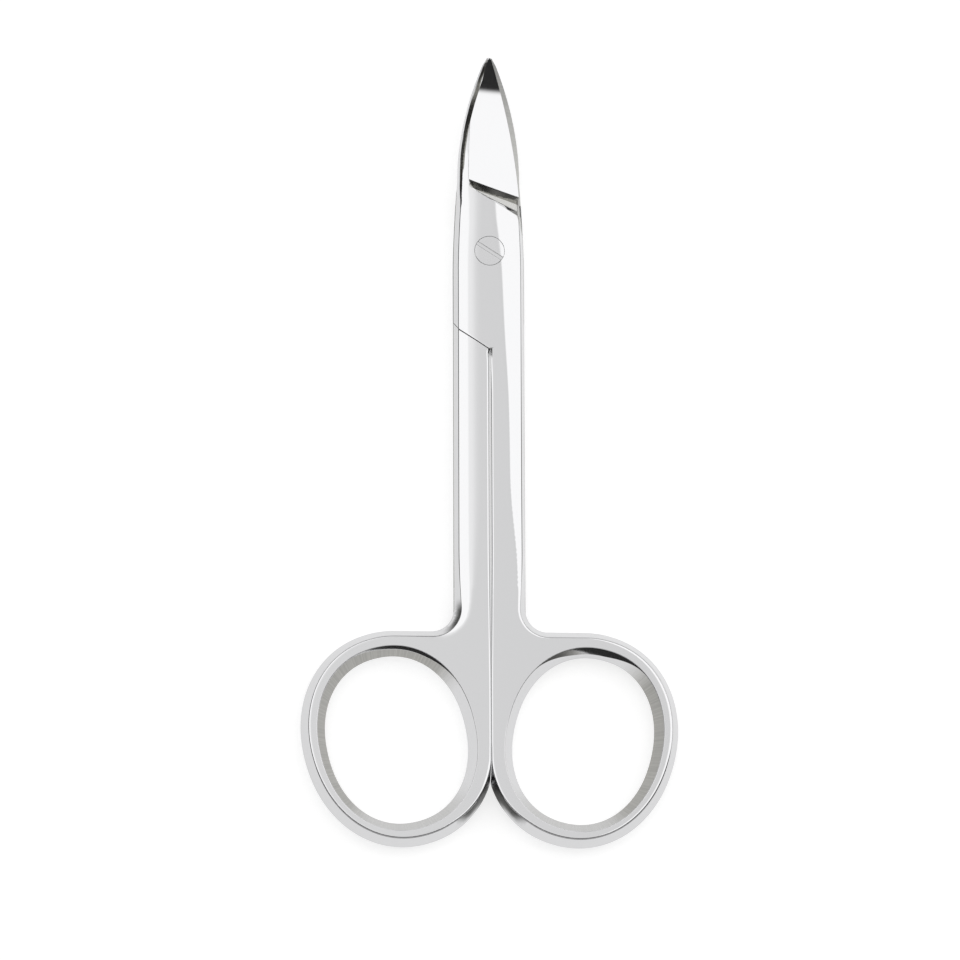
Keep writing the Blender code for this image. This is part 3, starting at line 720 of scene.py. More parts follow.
def sweep(f, x, y):
    """The blade's rise: the square of the distance from the screw past its start, with its slopes."""
    r = np.hypot(x, y)
    share = np.where((y > 0.0) & (r > RISE_START), (r - RISE_START) / (PIVOT_TO_TIP - RISE_START), 0.0)
    slope = 2.0 * f.s.blade_rise * share / (PIVOT_TO_TIP - RISE_START) / np.maximum(r, 1e-9)
    return f.s.blade_rise * share**2, np.stack([x * slope, y * slope], axis=1)


# Plan and solid


PLAN_TOLERANCE_MM = 1e-5


def plan_triangles(lines, points):
    """Triangles that follow every given line, from Delaunay's rule, with loose points between the lines."""
    scale = 1.0 / MM
    verts, edges = [], []
    start = 0
    for line in lines:
        verts.append(line)
        index = np.arange(start, start + len(line))
        edges.append(np.stack([index[:-1], index[1:]], axis=1))
        start += len(line)
    verts.append(points)
    verts = np.vstack(verts) * scale
    edges = np.vstack(edges)
    points = [Vector(v) for v in verts.tolist()]
    out = delaunay_2d_cdt(points, edges.tolist(), [], 0, PLAN_TOLERANCE_MM, False)
    xy = np.array([(v.x, v.y) for v in out[0]]) / scale
    return xy, np.array(out[2], dtype=np.int64)


def upright_plan(xy, triangles):
    """The same plan with every triangle anticlockwise and only the points that they use."""
    first, second, third = (xy[triangles[:, corner]] for corner in range(3))
    area = np.cross(second - first, third - first)
    triangles = np.where(area[:, None] < 0.0, triangles[:, ::-1], triangles)
    used, inverse = np.unique(triangles, return_inverse=True)
    return xy[used], inverse.reshape(-1, 3)


# Rows of a staggered grid lie this share of the step apart
ROW_SHARE = 0.866


def hexagonal(low, high, step):
    """A staggered grid of points between two corners."""
    rows = np.arange(low[1], high[1], step * ROW_SHARE)
    columns = np.arange(low[0], high[0], step)
    x, y = np.meshgrid(columns, rows)
    x[1::2] += step / 2
    return np.stack([x.ravel(), y.ravel()], axis=1)


# Numbers of the materials on a half, in the order that steels gives them
POLISHED, GROUND, RING_SIDE, ROUGH_SHADED, CORNER = range(5)
# Share of the height that counts in an upright wall's pattern, so that its strokes run up the wall
WALL_STROKE_SHARE = 0.05


def solid_from_sheets(xy, triangles, top, bottom, split_z):
    """A closed shell between two stacks of sheets over one plan.

    top and bottom are lists of sheets: triangle mask, heights, slopes, material number and grain vectors.
    Upright walls join sheets along the plan's border and where two sheets of one stack meet.
    """
    layers = []
    for sheets, up in ((top, True), (bottom, False)):
        label = np.full(len(triangles), -1)
        for number, sheet in enumerate(sheets):
            label[sheet.mask] = number
        layers.append((sheets, label, up))
    count = len(xy)
    corners, normals, materials, grains = [], [], [], []

    def add(points, normal, material, grain):
        corners.append(points)
        normals.append(normal)
        materials.append(material)
        grains.append(grain)

    for sheets, label, up in layers:
        for number, sheet in enumerate(sheets):
            chosen = triangles[label == number]
            if not up:
                chosen = chosen[:, ::-1]
            z = sheet.z[chosen]
            normal = np.dstack([-sheet.slope[chosen], np.ones(chosen.shape)])
            normal /= np.linalg.norm(normal, axis=2)[..., None]
            material = sheet.material[label == number]
            add(np.dstack([xy[chosen], z]), normal if up else -normal, material, sheet.grain[chosen])

    # Half-edges of the plan, paired by their ends
    a = triangles[:, [0, 1, 2]].ravel()
    b = triangles[:, [1, 2, 0]].ravel()
    owner = np.repeat(np.arange(len(triangles)), 3)
    key, twin_key = a * count + b, b * count + a
    order = np.argsort(key)
    found = np.clip(np.searchsorted(key[order], twin_key), 0, len(key) - 1)
    twin = np.where(key[order][found] == twin_key, owner[order[found]], -1)

    def wall(ax, bx, tops, bottoms, material):
        """Two triangles for each plan edge, from the higher row to the lower one."""
        a_high, b_high = tops
        a_low, b_low = bottoms
        quad = np.stack(
            [
                np.column_stack([xy[ax], a_high]),
                np.column_stack([xy[ax], a_low]),
                np.column_stack([xy[bx], b_low]),
                np.column_stack([xy[bx], b_high]),
            ],
            axis=1,
        )
        run = xy[bx] - xy[ax]
        run /= np.maximum(np.hypot(*run.T), 1e-12)[:, None]
        out = np.column_stack([run[:, 1], -run[:, 0], np.zeros(len(run))])
        along = (xy[ax] * run).sum(axis=1)
        along_b = (xy[bx] * run).sum(axis=1)
        grain = np.stack(
            [
                np.column_stack([along, a_high * WALL_STROKE_SHARE, out[:, 0]]),
                np.column_stack([along, a_low * WALL_STROKE_SHARE, out[:, 0]]),
                np.column_stack([along_b, b_low * WALL_STROKE_SHARE, out[:, 0]]),
                np.column_stack([along_b, b_high * WALL_STROKE_SHARE, out[:, 0]]),
            ],
            axis=1,
        )
        for pick in ((0, 1, 2), (0, 2, 3)):
            flat = np.repeat(out[:, None], 3, axis=1)
            add(quad[:, pick], flat, np.full(len(quad), material), grain[:, pick])

    border = twin == -1
    ax, bx, mine = a[border], b[border], owner[border]
    high_sheets, low_sheets = layers[0], layers[1]

    def heights(layer, owners, vertex):
        sheets, label, _ = layer
        z = np.stack([sheet.z for sheet in sheets])
        return z[label[owners], vertex]

    tops = heights(high_sheets, mine, ax), heights(high_sheets, mine, bx)
    lows = heights(low_sheets, mine, ax), heights(low_sheets, mine, bx)
    middles = tuple(np.clip(split_z, low, high) for low, high in zip(lows, tops))
    wall(ax, bx, tops, middles, POLISHED)
    wall(ax, bx, middles, lows, POLISHED)
    for layer in layers:
        sheets, label, up = layer
        meet = (twin >= 0) & (owner < twin) & (label[owner] != label[twin])
        ax, bx, mine, theirs = a[meet], b[meet], owner[meet], twin[meet]
        one = heights(layer, mine, ax), heights(layer, mine, bx)
        two = heights(layer, theirs, ax), heights(layer, theirs, bx)
        if up:
            wall(ax, bx, one, two, GROUND)
        else:
            wall(ax, bx, two, one, GROUND)
    return tuple(np.concatenate(rows) for rows in (corners, normals, materials, grains))


# Corners whose places, in these parts of a metre, round to one whole number are one vertex
WELD_PARTS = 2e7


def mesh_object(name, shell, materials):
    """A mesh from loose corners: equal places become one vertex, and empty triangles are left out."""
    corners, normals, numbers, grains = shell
    flat = corners.reshape(-1, 3)
    places = np.round(flat * WELD_PARTS).astype(np.int64)
    _, first, index = np.unique(places, axis=0, return_index=True, return_inverse=True)
    faces = index.reshape(-1, 3)
    real = (faces[:, 0] != faces[:, 1]) & (faces[:, 1] != faces[:, 2]) & (faces[:, 2] != faces[:, 0])
    faces, normals, numbers, grains = faces[real], normals[real], numbers[real], grains[real]
    mesh = bpy.data.meshes.new(name)
    mesh.vertices.add(len(first))
    mesh.vertices.foreach_set("co", flat[first].ravel())
    mesh.loops.add(faces.size)
    mesh.loops.foreach_set("vertex_index", faces.ravel())
    mesh.polygons.add(len(faces))
    mesh.polygons.foreach_set("loop_start", np.arange(0, faces.size, 3))
    mesh.polygons.foreach_set("loop_total", np.full(len(faces), 3))
    mesh.polygons.foreach_set("material_index", numbers)
    mesh.update(calc_edges=True)
    grain = mesh.attributes.new("grain", "FLOAT_VECTOR", "CORNER")
    grain.data.foreach_set("vector", grains.ravel())
    for material in materials:
        mesh.materials.append(material)
    mesh.shade_smooth()
    mesh.normals_split_custom_set(normals.reshape(-1, 3))
    obj = bpy.data.objects.new(name, mesh)
    bpy.context.scene.collection.objects.link(obj)
    return obj


def sheet(mask, z, slope, material, grain):
    return SimpleNamespace(mask=mask, z=z, slope=slope, material=material, grain=grain)


# Lines of the plan beside each edge: as shares of the draft, the chamfer, the step or the scoop's wall
DRAFT_LINES = (0.0, 0.015, 0.04, 0.10, 0.5, 0.82, 0.90, 0.96, 1.0, 1.05, 1.12, 1.22)
CHAMFER_LINES = (0.5, 0.92, 1.0, 1.08)
STEP_LINES = (-0.06, -0.02, 0.0, 0.02, 0.06, 0.3, 0.6, 0.88, 0.94, 1.0, 1.06, 1.12)
SCOOP_LINES = (-0.03, 0.03, 0.25, 0.5, 0.75, 1.0)
# The same as distances from the draft's inner side, the hole, the cut lines and the face's border
RING_LINES = (0.00010, 0.00020, 0.00038)
HOLE_LINES = (0.0, 0.0002, 0.00110, HOLE_BAND, 0.00118, 0.00122, 0.0014)
CUT_LINES = (0.0, 0.00002, 0.00005, 0.00008, 0.00013, 0.00019, 0.00026)
BORDER_LINES = (-0.00010, -0.00008, -0.00004, 0.0, 0.00003, 0.0002)
FACET_LINE = ((0.0043, 0.00299), (0.0033, 0.00579))
FACET_LINE_SHIFTS = (-0.00003, 0.00003)
# Where lines start and end
LEFT_SIDE_FROM_Y = -0.0145
SPINE_FROM_Y = 0.0015
RING_BELOW_Y = -0.0440
HOLE_BELOW_Y = -0.045
BESIDE_BLADE_X = 0.006
BEYOND_TIP_Y = 0.03
BORDER_LINE_Y = (0.0080, 0.0250)
STEP_LINE_X = (-0.00275, 0.0050)
SCOOP_LINE_X = (-0.0026, 0.0045)
# The hollow that the screw's head sits in, and the hole for its shank
SEAT_RADIUS = 0.001995
SEAT_DEPTH = 0.0011
SHANK_HOLE_RADIUS = 0.00137
# Spacing of the points on the lines
HOLE_SPACING = 0.00028
CUT_SPACING = 0.0003
EDGE_SPACING = 0.0002
BORDER_SPACING = 0.00015
STEP_SPACING = 0.00010
SCOOP_SPACING = 0.00012
EDGE_LINE_INSET = 0.0001
# Loose points between the lines: two corners of an area and their spacing, closer on the blade
HANDLE_POINTS = ((-0.005, -0.0795), (0.0255, 0.0), 0.00038)
BLADE_POINTS = ((-0.005, 0.0), (0.005, 0.0265), 0.00022)
OUTLINE_CLEARANCE = 0.0002
HOLE_CLEARANCE = 0.0012
HOLE_CLEARANCE_BELOW_Y = -0.04


def half_plan(f):
    """The plan of one half: lines along every edge of its shape, and its triangles."""
    outline = f.outline
    normals = left_normals(outline)
    lines = []
    near_tip = outline[:, 1] > 0.0
    for share in DRAFT_LINES:
        moved = outline + normals * (f.draft * share)[:, None]
        right = np.vstack([moved[~near_tip][::3], moved[near_tip][::-2][::-1]])
        left = right * (-1.0, 1.0)
        lines += [right, left[left[:, 1] > LEFT_SIDE_FROM_Y]]
    spine = outline[:, 1] > SPINE_FROM_Y
    for share in CHAMFER_LINES:
        moved = outline + normals * (f.draft + f.chamfer_width * share)[:, None]
        left = moved[spine] * (-1.0, 1.0)
        lines.append(left[::2])
    ring = outline[:, 1] < RING_BELOW_Y
    for out in RING_LINES:
        moved = outline + normals * (f.draft + out)[:, None]
        lines.append(moved[ring][::3])
    hole_out = left_normals(f.hole)
    number = np.arange(len(f.hole), dtype=float)
    offsets = [np.full(len(f.hole), out) for out in HOLE_LINES]
    for crescent in (FACE_CRESCENT, BACK_CRESCENT):
        middle = HOLE_BAND - hole_edge(f, number, crescent)
        offsets += [middle + out for out in (-HOLE_RIM_BLEND, 0.0, HOLE_RIM_BLEND)]
    for out in offsets:
        loop = evenly(f.hole + hole_out * out[:, None], HOLE_SPACING)
        loop[-1] = loop[0]
        lines.append(loop)
    for line, kept in ((f.own_line, 1.0), (f.other_line, -1.0)):
        side = left_normals(line) * kept
        for out in CUT_LINES:
            lines.append(evenly(line + side * out, CUT_SPACING))
    y = np.arange(EDGE_ROOT_Y, PIVOT_TO_TIP + EDGE_SPACING, EDGE_SPACING)
    edge = np.stack([edge_x(f, y), y], axis=1)
    start = [[BESIDE_BLADE_X, EDGE_ROOT_Y]]
    lines.append(np.vstack([start, edge]))
    lines.append(edge - (EDGE_LINE_INSET, 0.0))
    f.edge_place = np.vstack([start, edge, [[EDGE_TIP_X, BEYOND_TIP_Y], [BESIDE_BLADE_X, BEYOND_TIP_Y]]])
    y = np.arange(*BORDER_LINE_Y, BORDER_SPACING)
    for shift in BORDER_LINES:
        lines.append(np.stack([face_side_x(f, y) + shift, y], axis=1))
    x = np.arange(*STEP_LINE_X, STEP_SPACING)
    slant = np.radians(LIP_SLANT_DEG)
    level = LIP_CENTRE_Y - x * np.tan(slant)
    _, shift = past_lip(f, x, level)
    for share in STEP_LINES:
        lip = level + (shift + (STEP_LENGTH - shift) * share) / np.cos(slant)
        lines.append(np.stack([x, lip], axis=1))
    x = np.arange(*SCOOP_LINE_X, SCOOP_SPACING)
    slant = np.radians(SCOOP_SLANT_DEG)
    start = SCOOP_Y - (x - SCOOP_X) * np.tan(slant)
    for share in SCOOP_LINES:
        lines.append(np.stack([x, start + scoop_wall(x) * share / np.cos(slant)], axis=1))
    for shift in FACET_LINE_SHIFTS:
        lines.append(evenly(np.array(FACET_LINE) + (shift, 0.0), CUT_SPACING))
    turn = np.linspace(0.0, 2.0 * np.pi, 97)
    circle = np.stack([np.cos(turn), np.sin(turn)], axis=1)
    circle[-1] = circle[0]
    lines += [SEAT_RADIUS * circle, SHANK_HOLE_RADIUS * circle]
    loose = np.vstack([hexagonal(*HANDLE_POINTS), hexagonal(*BLADE_POINTS)])
    out = place_on_outline(f, loose)[0]
    hole, _, _ = nearest(f.hole, loose)
    keep = (out > OUTLINE_CLEARANCE) & ((hole > HOLE_CLEARANCE) | (loose[:, 1] > HOLE_CLEARANCE_BELOW_Y))
    keep &= ~inside(loose, f.handle_place)
    return plan_triangles(lines, loose[keep])


# Corners painted dark as shade, where the parts shade each other: where each patch fades in and out along
# the pair, or to the side
CROTCH_FROM_Y = (0.0703, 0.0712)
CROTCH_LOW_Y = (0.0724, 0.0744)
CROTCH_TO_Y = (0.0744, 0.0760)
CROTCH_BESIDE_X = 0.0045
JOINT_FROM_Y = -0.0131
JOINT_TO_Y = (0.0139, 0.0146)
JOINT_TO_X = (0.00026, 0.00036)
ROOT_FROM_Y = (0.0462, 0.0482)
ROOT_ABOVE_Y = -0.0512
ROOT_TO_X = (0.0046, 0.0064)
# The same across the draft, in shares of it
CROTCH_INWARD = (0.1, 0.6)
ROOT_INWARD = (0.35, 0.6)
PAST_DRAFT = 1.02


def painted_corner_shade(x, y, inward, front):
    """How much shade is painted into the corners: between the rings, at the joint's front and at the left
    ring's root.

    Each is a product of smooth fades along and across the draft, where inward is 0 at the outline and 1 at
    the draft's inner side.
    """
    on_draft = inward < PAST_DRAFT
    low = smoothstep(-y, *CROTCH_LOW_Y)
    crotch = smoothstep(-y, *CROTCH_FROM_Y) * (1.0 - smoothstep(-y, *CROTCH_TO_Y))
    crotch = crotch * on_draft * (x < CROTCH_BESIDE_X)
    crotch = crotch * (1.0 - low * (1.0 - smoothstep(inward, *CROTCH_INWARD)))
    joint = (1.0 - smoothstep(x, *JOINT_TO_X)) * (y < JOINT_FROM_Y) * (1.0 - smoothstep(-y, *JOINT_TO_Y))
    root = smoothstep(-y, *ROOT_FROM_Y) * (1.0 - smoothstep(x, *ROOT_TO_X)) * (y > ROOT_ABOVE_Y) * on_draft
    root = root * smoothstep(inward, *ROOT_INWARD)
    return np.maximum(crotch, joint if front else root)


# Width and drop of the rounding beside each cut line, and the blend where a cut meets the face
OWN_EDGE = (0.00026, 0.00014)
CONTACT_EDGE = (0.00024, 0.00014)
OTHER_EDGE = (0.00008, 0.00004)
CUT_BLEND = 0.00003
# The own line is sharp at the joint and rounded below it; both lines lose some of it towards the rings
SHARP_SHARE = 0.12
ROUNDED_Y = (0.0138, 0.0200)
LOST_SHARE = 0.45
LOST_Y = (0.0480, 0.0600)
GROUND_FROM_Y = 0.0060
OUT_OF_THE_WAY = 1.0


def half_heights(f, xy, found):
    """Heights and slopes of a half's face and of its handle's other face, and places along the hole's edge.

    Each is the outer form less the rounding at its cut lines and, on the face, the scoop and facet. Where
    the hole's side or the ground front is lower, it counts instead.
    """
    x, y = xy.T
    outer_z, outer_slope = outer_form(f, found, y, x < 0.0)
    under_z, under_slope = outer_form(f, found, y, np.ones(len(xy), bool))
    (hole_z, hole_slope), hole_place = hole_form(f, xy, FACE_CRESCENT)
    (back_z, back_slope), _ = hole_form(f, xy, BACK_CRESCENT)
    far_from_ring = y > HOLE_BELOW_Y
    hole_z = np.where(far_from_ring, OUT_OF_THE_WAY, hole_z)
    back_z = np.where(far_from_ring, OUT_OF_THE_WAY, back_z)
    own, own_slope = edge_round(f.own_line, xy, *OWN_EDGE)
    contact, contact_slope = edge_round(f.contact_line, xy, *CONTACT_EDGE)
    other, other_slope = edge_round(f.other_line, xy, *OTHER_EDGE)
    kept = 1.0 - LOST_SHARE * smoothstep(-y, *LOST_Y)
    fade = ((SHARP_SHARE + (1.0 - SHARP_SHARE) * smoothstep(-y, *ROUNDED_Y)) * kept)[:, None]
    contact, contact_slope = contact * kept, contact_slope * kept[:, None]
    depth, depth_slope = slopes_of(lambda x, y: facet_depth(f, x, y), x, y)
    face = (outer_z - own * fade[:, 0] - depth, outer_slope - own_slope * fade - depth_slope)
    face = lower_of(face, (hole_z, hole_slope), CUT_BLEND)
    ground_z, ground_slope = slopes_of(lambda x, y: ground_height(f, x, y), x, y)
    ground_z = np.where(y > GROUND_FROM_Y, ground_z, OUT_OF_THE_WAY)
    face = lower_of(face, (ground_z, ground_slope), CUT_BLEND)
    use_other = other > contact
    lowered = np.where(use_other, other, contact)
    lowered_slope = np.where(use_other[:, None], other_slope, contact_slope)
    back = (under_z - lowered, under_slope - lowered_slope)
    return face, lower_of(back, (back_z, back_slope), CUT_BLEND), hole_place


# Where the finishes change: the scoop's low end, the ground strip along the spine, darkened as painted
# shade, and a line along the outline painted dark as shade
SCOOP_LOW_Y = 0.0056
STRIP_FROM_Y = 0.0088
STRIP_WIDENING_Y = (0.0088, 0.0118)
SHADED_OUTLINE_Y = (-0.0480, 0.0085)
SHADED_OUTLINE_SHARE = 0.10
STRIP_START_SHARE = 0.98
LEAST_DEPTH = 1e-7


def half_finishes(f, middle, away, in_hole, on_hole, dark):
    """Material numbers of the face's and the other face's triangles, by the place of their middles."""
    x, y = middle.T
    straight, shift = past_lip(f, x, y)
    beyond_lip = straight - shift
    face = np.full(len(middle), POLISHED)
    face[(y < HOLE_BELOW_Y) & (in_hole < HOLE_BAND - hole_edge(f, on_hole, FACE_CRESCENT))] = RING_SIDE
    # The step below the lip: ground steel, painted darker as shade
    face[(x > face_side_x(f, y)) & (beyond_lip > 0.0) & (straight < STEP_LENGTH)] = ROUGH_SHADED
    past_wall = (scoop_distance(x, y) > scoop_wall(x)) | (y < SCOOP_LOW_Y)
    face[(facet_depth(f, x, y) > LEAST_DEPTH) & (beyond_lip < 0.0) & past_wall] = GROUND
    width = half_width(f.s, y)
    low = np.minimum(BLADE_DRAFT, width * DRAFT_SHARE)
    high = low + np.minimum(CHAMFER_WIDTH, width * CHAMFER_SHARE) * smoothstep(y, *STRIP_WIDENING_Y)
    # The strip along the spine: ground steel, painted darker as shade
    face[(x < 0.0) & (y > STRIP_FROM_Y) & (away > low * STRIP_START_SHARE) & (away < high)] = ROUGH_SHADED
    # A thin line along the outline, painted dark as shade with the darkened rough steel
    shaded_outline = (y < SHADED_OUTLINE_Y[1]) & (y > SHADED_OUTLINE_Y[0]) & (away < SHADED_OUTLINE_SHARE * BODY_DRAFT)
    face[shaded_outline] = ROUGH_SHADED
    # Corners where the parts shade each other get steel painted dark as shade
    face[dark] = CORNER
    # The other face gets the same painted shade in its corners and along its outline
    back = np.where(dark, CORNER, np.where(shaded_outline, ROUGH_SHADED, POLISHED))
    back[(y < HOLE_BELOW_Y) & (in_hole < HOLE_BAND - hole_edge(f, on_hole, BACK_CRESCENT))] = RING_SIDE
    return face, back


# On the blade's front the strokes run across this slant, and on its spine and the lap face across the blade.
# The measure along them counts only by a share, which draws them out
LIP_STROKES_DEG = 19.5
LIP_STROKE_SHARE = 0.06
SPINE_STROKE_SHARE = 0.10
LAP_STROKE_SHARE = 0.04
LAP_STROKE_LEAN = 0.2
# Depths in the noise at which the spine's and the lap's strokes are taken, so that no two faces match
SPINE_LAYER = 0.01
LAP_LAYER = 0.02
HANDLE_BELOW_Y = -0.0120
BESIDE_HOLE = 0.0001


def half_grains(f, xy, hole_place, dark):
    """Places in the stroke patterns of the face, the handle's other face and the lap face.

    On the handle the place is that round the hole, so that the strokes cross the hole's side, and the third
    value says how much of them is left by the hole and, elsewhere, how much shade is painted into the
    corner.
    On the blade each place is turned to the strokes' own direction.
    """
    x, y = xy.T
    nothing = np.zeros(len(xy))
    turn = 2.0 * np.pi * hole_place / (len(f.hole) - 1)
    reach = np.hypot(*np.diff(f.hole, axis=0).T).sum() / (2.0 * np.pi)
    by_hole = np.abs(nearest(f.hole, xy)[0]) < HOLE_BAND + BESIDE_HOLE
    from_wheel = hole_turn(f, hole_place)
    slant = np.radians(LIP_STROKES_DEG)
    along_lip = x * np.cos(slant) - y * np.sin(slant)
    across_lip = x * np.sin(slant) + y * np.cos(slant)
    lip = np.column_stack([along_lip, across_lip * LIP_STROKE_SHARE, nothing])
    spine = np.column_stack([y, x * SPINE_STROKE_SHARE, nothing + SPINE_LAYER])
    lap = np.column_stack([y - x * LAP_STROKE_LEAN, x * LAP_STROKE_SHARE, nothing + LAP_LAYER])
    blade = np.where((x < face_side_x(f, y))[:, None], spine, lip)
    grains = []
    for directions in (FACE_WEAR_DEG, BACK_WEAR_DEG):
        # Away from the hole the third value is how much shade is painted into the corner
        wear = MM * np.where(by_hole, hole_wear(from_wheel, *directions), dark)
        handle = np.column_stack([reach * np.cos(turn), reach * np.sin(turn), wear])
        grains.append(np.where((y < HANDLE_BELOW_Y)[:, None], handle, blade))
    return *grains, lap


def make_half(name, f, plan, materials, front):
    """One half from the shared plan: its face, lap face and handle's other face, then turned and swept."""
    xy, triangles = plan
    middle = xy[triangles].mean(axis=1)
    away = place_on_outline(f, middle)[0]
    in_hole, on_hole, _ = nearest(f.hole, middle)
    keep = (away > 0.0) & ((middle[:, 1] >= HOLE_BELOW_Y) | (in_hole >= 0.0))
    keep &= np.hypot(*middle.T) > SHANK_HOLE_RADIUS
    keep &= ~inside(middle, f.handle_place) & ~inside(middle, f.edge_place)
    middle, in_hole, on_hole = middle[keep], in_hole[keep], on_hole[keep]
    xy, triangles = upright_plan(xy, triangles[keep])
    x, y = xy.T
    lap_z = f.middle + LAP_GAP
    found = place_on_outline(f, xy)
    face, back, hole_place = half_heights(f, xy, found)

    lap = inside(middle, f.layer_place)
    lap_vertex = np.zeros(len(xy), bool)
    lap_vertex[triangles[lap].ravel()] = True
    face_z = np.where(lap_vertex, np.maximum(face[0], lap_z), np.maximum(face[0], f.middle))
    back_z = np.minimum(f.top - back[0], f.middle)

    # How much shade is painted into each corner, by place
    dark = painted_corner_shade(x, y, found[0] / along_line(f.draft, found[1]), front)
    shaded_triangle = dark[triangles].max(axis=1) > 0.0
    away = found[0][triangles].mean(axis=1)
    face_finish, back_finish = half_finishes(f, middle, away, in_hole, on_hole, shaded_triangle)
    face_grain, back_grain, lap_grain = half_grains(f, xy, hole_place, dark)
    level = np.zeros((len(xy), 2))
    ground = np.full(len(triangles), GROUND)
    seat = (np.hypot(*middle.T) < SEAT_RADIUS) & front
    top = [
        sheet(~seat, face_z, face[1], face_finish, face_grain),
        sheet(seat, np.full(len(xy), f.top - SEAT_DEPTH), level, ground, lap_grain),
    ]
    bottom = [
        sheet(~lap, back_z, -back[1], back_finish, back_grain),
        sheet(lap, np.full(len(xy), lap_z), level, ground, lap_grain),
    ]
    corners, normals, numbers, grains = solid_from_sheets(xy, triangles, top, bottom, lap_z)
    if not front:
        corners = corners * (-1.0, 1.0, -1.0) + (0.0, 0.0, f.top)
        normals = normals * (-1.0, 1.0, -1.0)
    flat = corners.reshape(-1, 3)
    rise, rise_slope = sweep(f, flat[:, 0], flat[:, 1])
    flat[:, 2] += rise
    lean = normals.reshape(-1, 3)
    lean[:, :2] -= rise_slope * lean[:, 2:]
    lean /= np.linalg.norm(lean, axis=1)[:, None]
    flat[:, 1] += f.pivot_y
    return mesh_object(name, (corners, normals, numbers, grains / MM), materials)


SCREW_SHANK_RADIUS = 0.0013
SCREW_HEAD_HEIGHT = 0.0010
SCREW_SPLIT_DEPTH = 0.0005
SCREW_END_Z = 0.00005
SLOT_TURN_DEG = -32.5
SLOT_DEPTH = 0.00008
# The head lies a little below the face, and its rim and the slot's lips are rounded down further
HEAD_SINK = 0.000005
RIM_WIDTH = 0.00004
RIM_DROP = 0.00002
LIP_WIDTH = 0.00009
LIP_DROP = 0.00006
RIM_LINES = (0.0, 0.00002, 0.00004, 0.00007)
LIP_LINES = (0.0, 0.00003, 0.00006, 0.00009)
# Half the length of the slot's lines, which pass the head's rim, and the spacing of the points
SLOT_LINE_REACH = 0.003
SLOT_SPACING = 0.0001
HEAD_SPACING = 0.00018
RIM_CLEARANCE = 0.0001
TURNED_STROKE_SHARE = 0.02


def make_screw(name, f, materials):
    """The screw as two stacks of sheets: head and slot floor above, underhead and shank end below."""
    head, shank = f.s.head_diameter / 2, SCREW_SHANK_RADIUS
    turn = np.linspace(0.0, 2.0 * np.pi, 161)
    circle = np.stack([np.cos(turn), np.sin(turn)], axis=1)
    circle[-1] = circle[0]
    lines = [circle * radius for radius in (*(head - inset for inset in RIM_LINES), shank)]
    slot_turn = np.radians(SLOT_TURN_DEG)
    ahead = np.array([np.cos(slot_turn), np.sin(slot_turn)])
    across = np.array([-ahead[1], ahead[0]])
    half = f.s.slot_width / 2
    for offset in (*(half + out for out in LIP_LINES), 0.0):
        for side in (1.0, -1.0):
            ends = np.array([-ahead * SLOT_LINE_REACH, ahead * SLOT_LINE_REACH]) + across * offset * side
            lines.append(evenly(ends, SLOT_SPACING))
    loose = hexagonal((-head, -head), (head, head), HEAD_SPACING)
    loose = loose[np.hypot(*loose.T) < head - RIM_CLEARANCE]
    xy, triangles = plan_triangles(lines, loose)
    middle = xy[triangles].mean(axis=1)
    triangles = triangles[np.hypot(*middle.T) < head]
    middle = xy[triangles].mean(axis=1)
    xy, triangles = upright_plan(xy, triangles)

    def lowered(x, y):
        """Parabolas down to the head's rim and to the slot's lips."""
        from_rim = head - np.hypot(x, y)
        from_slot = np.abs(x * across[0] + y * across[1]) - half
        rim = np.clip(1.0 - from_rim / RIM_WIDTH, 0.0, 1.0)
        lip = np.clip(1.0 - from_slot / LIP_WIDTH, 0.0, 1.0)
        return -HEAD_SINK - RIM_DROP * rim**2 - LIP_DROP * lip**2

    z, slope = slopes_of(lowered, xy[:, 0], xy[:, 1])
    face_z, face_slope = outer_form(f, place_on_outline(f, xy), xy[:, 1], xy[:, 0] < 0.0)
    z, slope = z + face_z, slope + face_slope
    level = np.zeros((len(xy), 2))
    in_slot = np.abs(middle @ across) < half
    in_shank = np.hypot(*middle.T) < shank
    polished, ground = np.full(len(triangles), POLISHED), np.full(len(triangles), GROUND)
    # Turned strokes run round the axis
    grain = np.column_stack([np.hypot(*xy.T), xy * TURNED_STROKE_SHARE])
    top = [
        sheet(~in_slot, z, slope, polished, grain),
        sheet(in_slot, np.full(len(xy), f.top - SLOT_DEPTH), level, polished, grain),
    ]
    bottom = [
        sheet(~in_shank, np.full(len(xy), f.top - SCREW_HEAD_HEIGHT), level, ground, grain),
        sheet(in_shank, np.full(len(xy), SCREW_END_Z), level, ground, grain),
    ]
    split_z = f.top - SCREW_SPLIT_DEPTH
    corners, normals, numbers, grains = solid_from_sheets(xy, triangles, top, bottom, split_z)
    corners.reshape(-1, 3)[:, 1] += f.pivot_y
    return mesh_object(name, (corners, normals, numbers, grains / MM), materials)


# Materials


def linear(hex_value):
    """An sRGB hex value as linear red, green and blue, with an alpha of one."""
    parts = np.array([int(hex_value[i : i + 2], 16) for i in (1, 3, 5)]) / 255.0
    values = np.where(parts <= 0.04045, parts / 12.92, ((parts + 0.055) / 1.055) ** 2.4)
    return (*values.tolist(), 1.0)


def darker(hex_value, share):
    """An sRGB hex value as linear colour, dimmed to a share of its light."""
    return (*(value * share for value in linear(hex_value)[:3]), 1.0)


def add_node(tree, kind, settings=None, **inputs):
    """A node with its settings; an input given as a socket is linked, and anything else is set."""
    node = tree.nodes.new(kind)
    for key, value in (settings or {}).items():
        setattr(node, key, value)
    for key, value in inputs.items():
        name = key.replace("_", " ")
        socket = node.inputs[int(key[1:])] if key[0] == "i" and key[1:].isdigit() else node.inputs[name]
        if isinstance(value, bpy.types.NodeSocket):
            tree.links.new(value, socket)
        else:
            socket.default_value = value
    return node


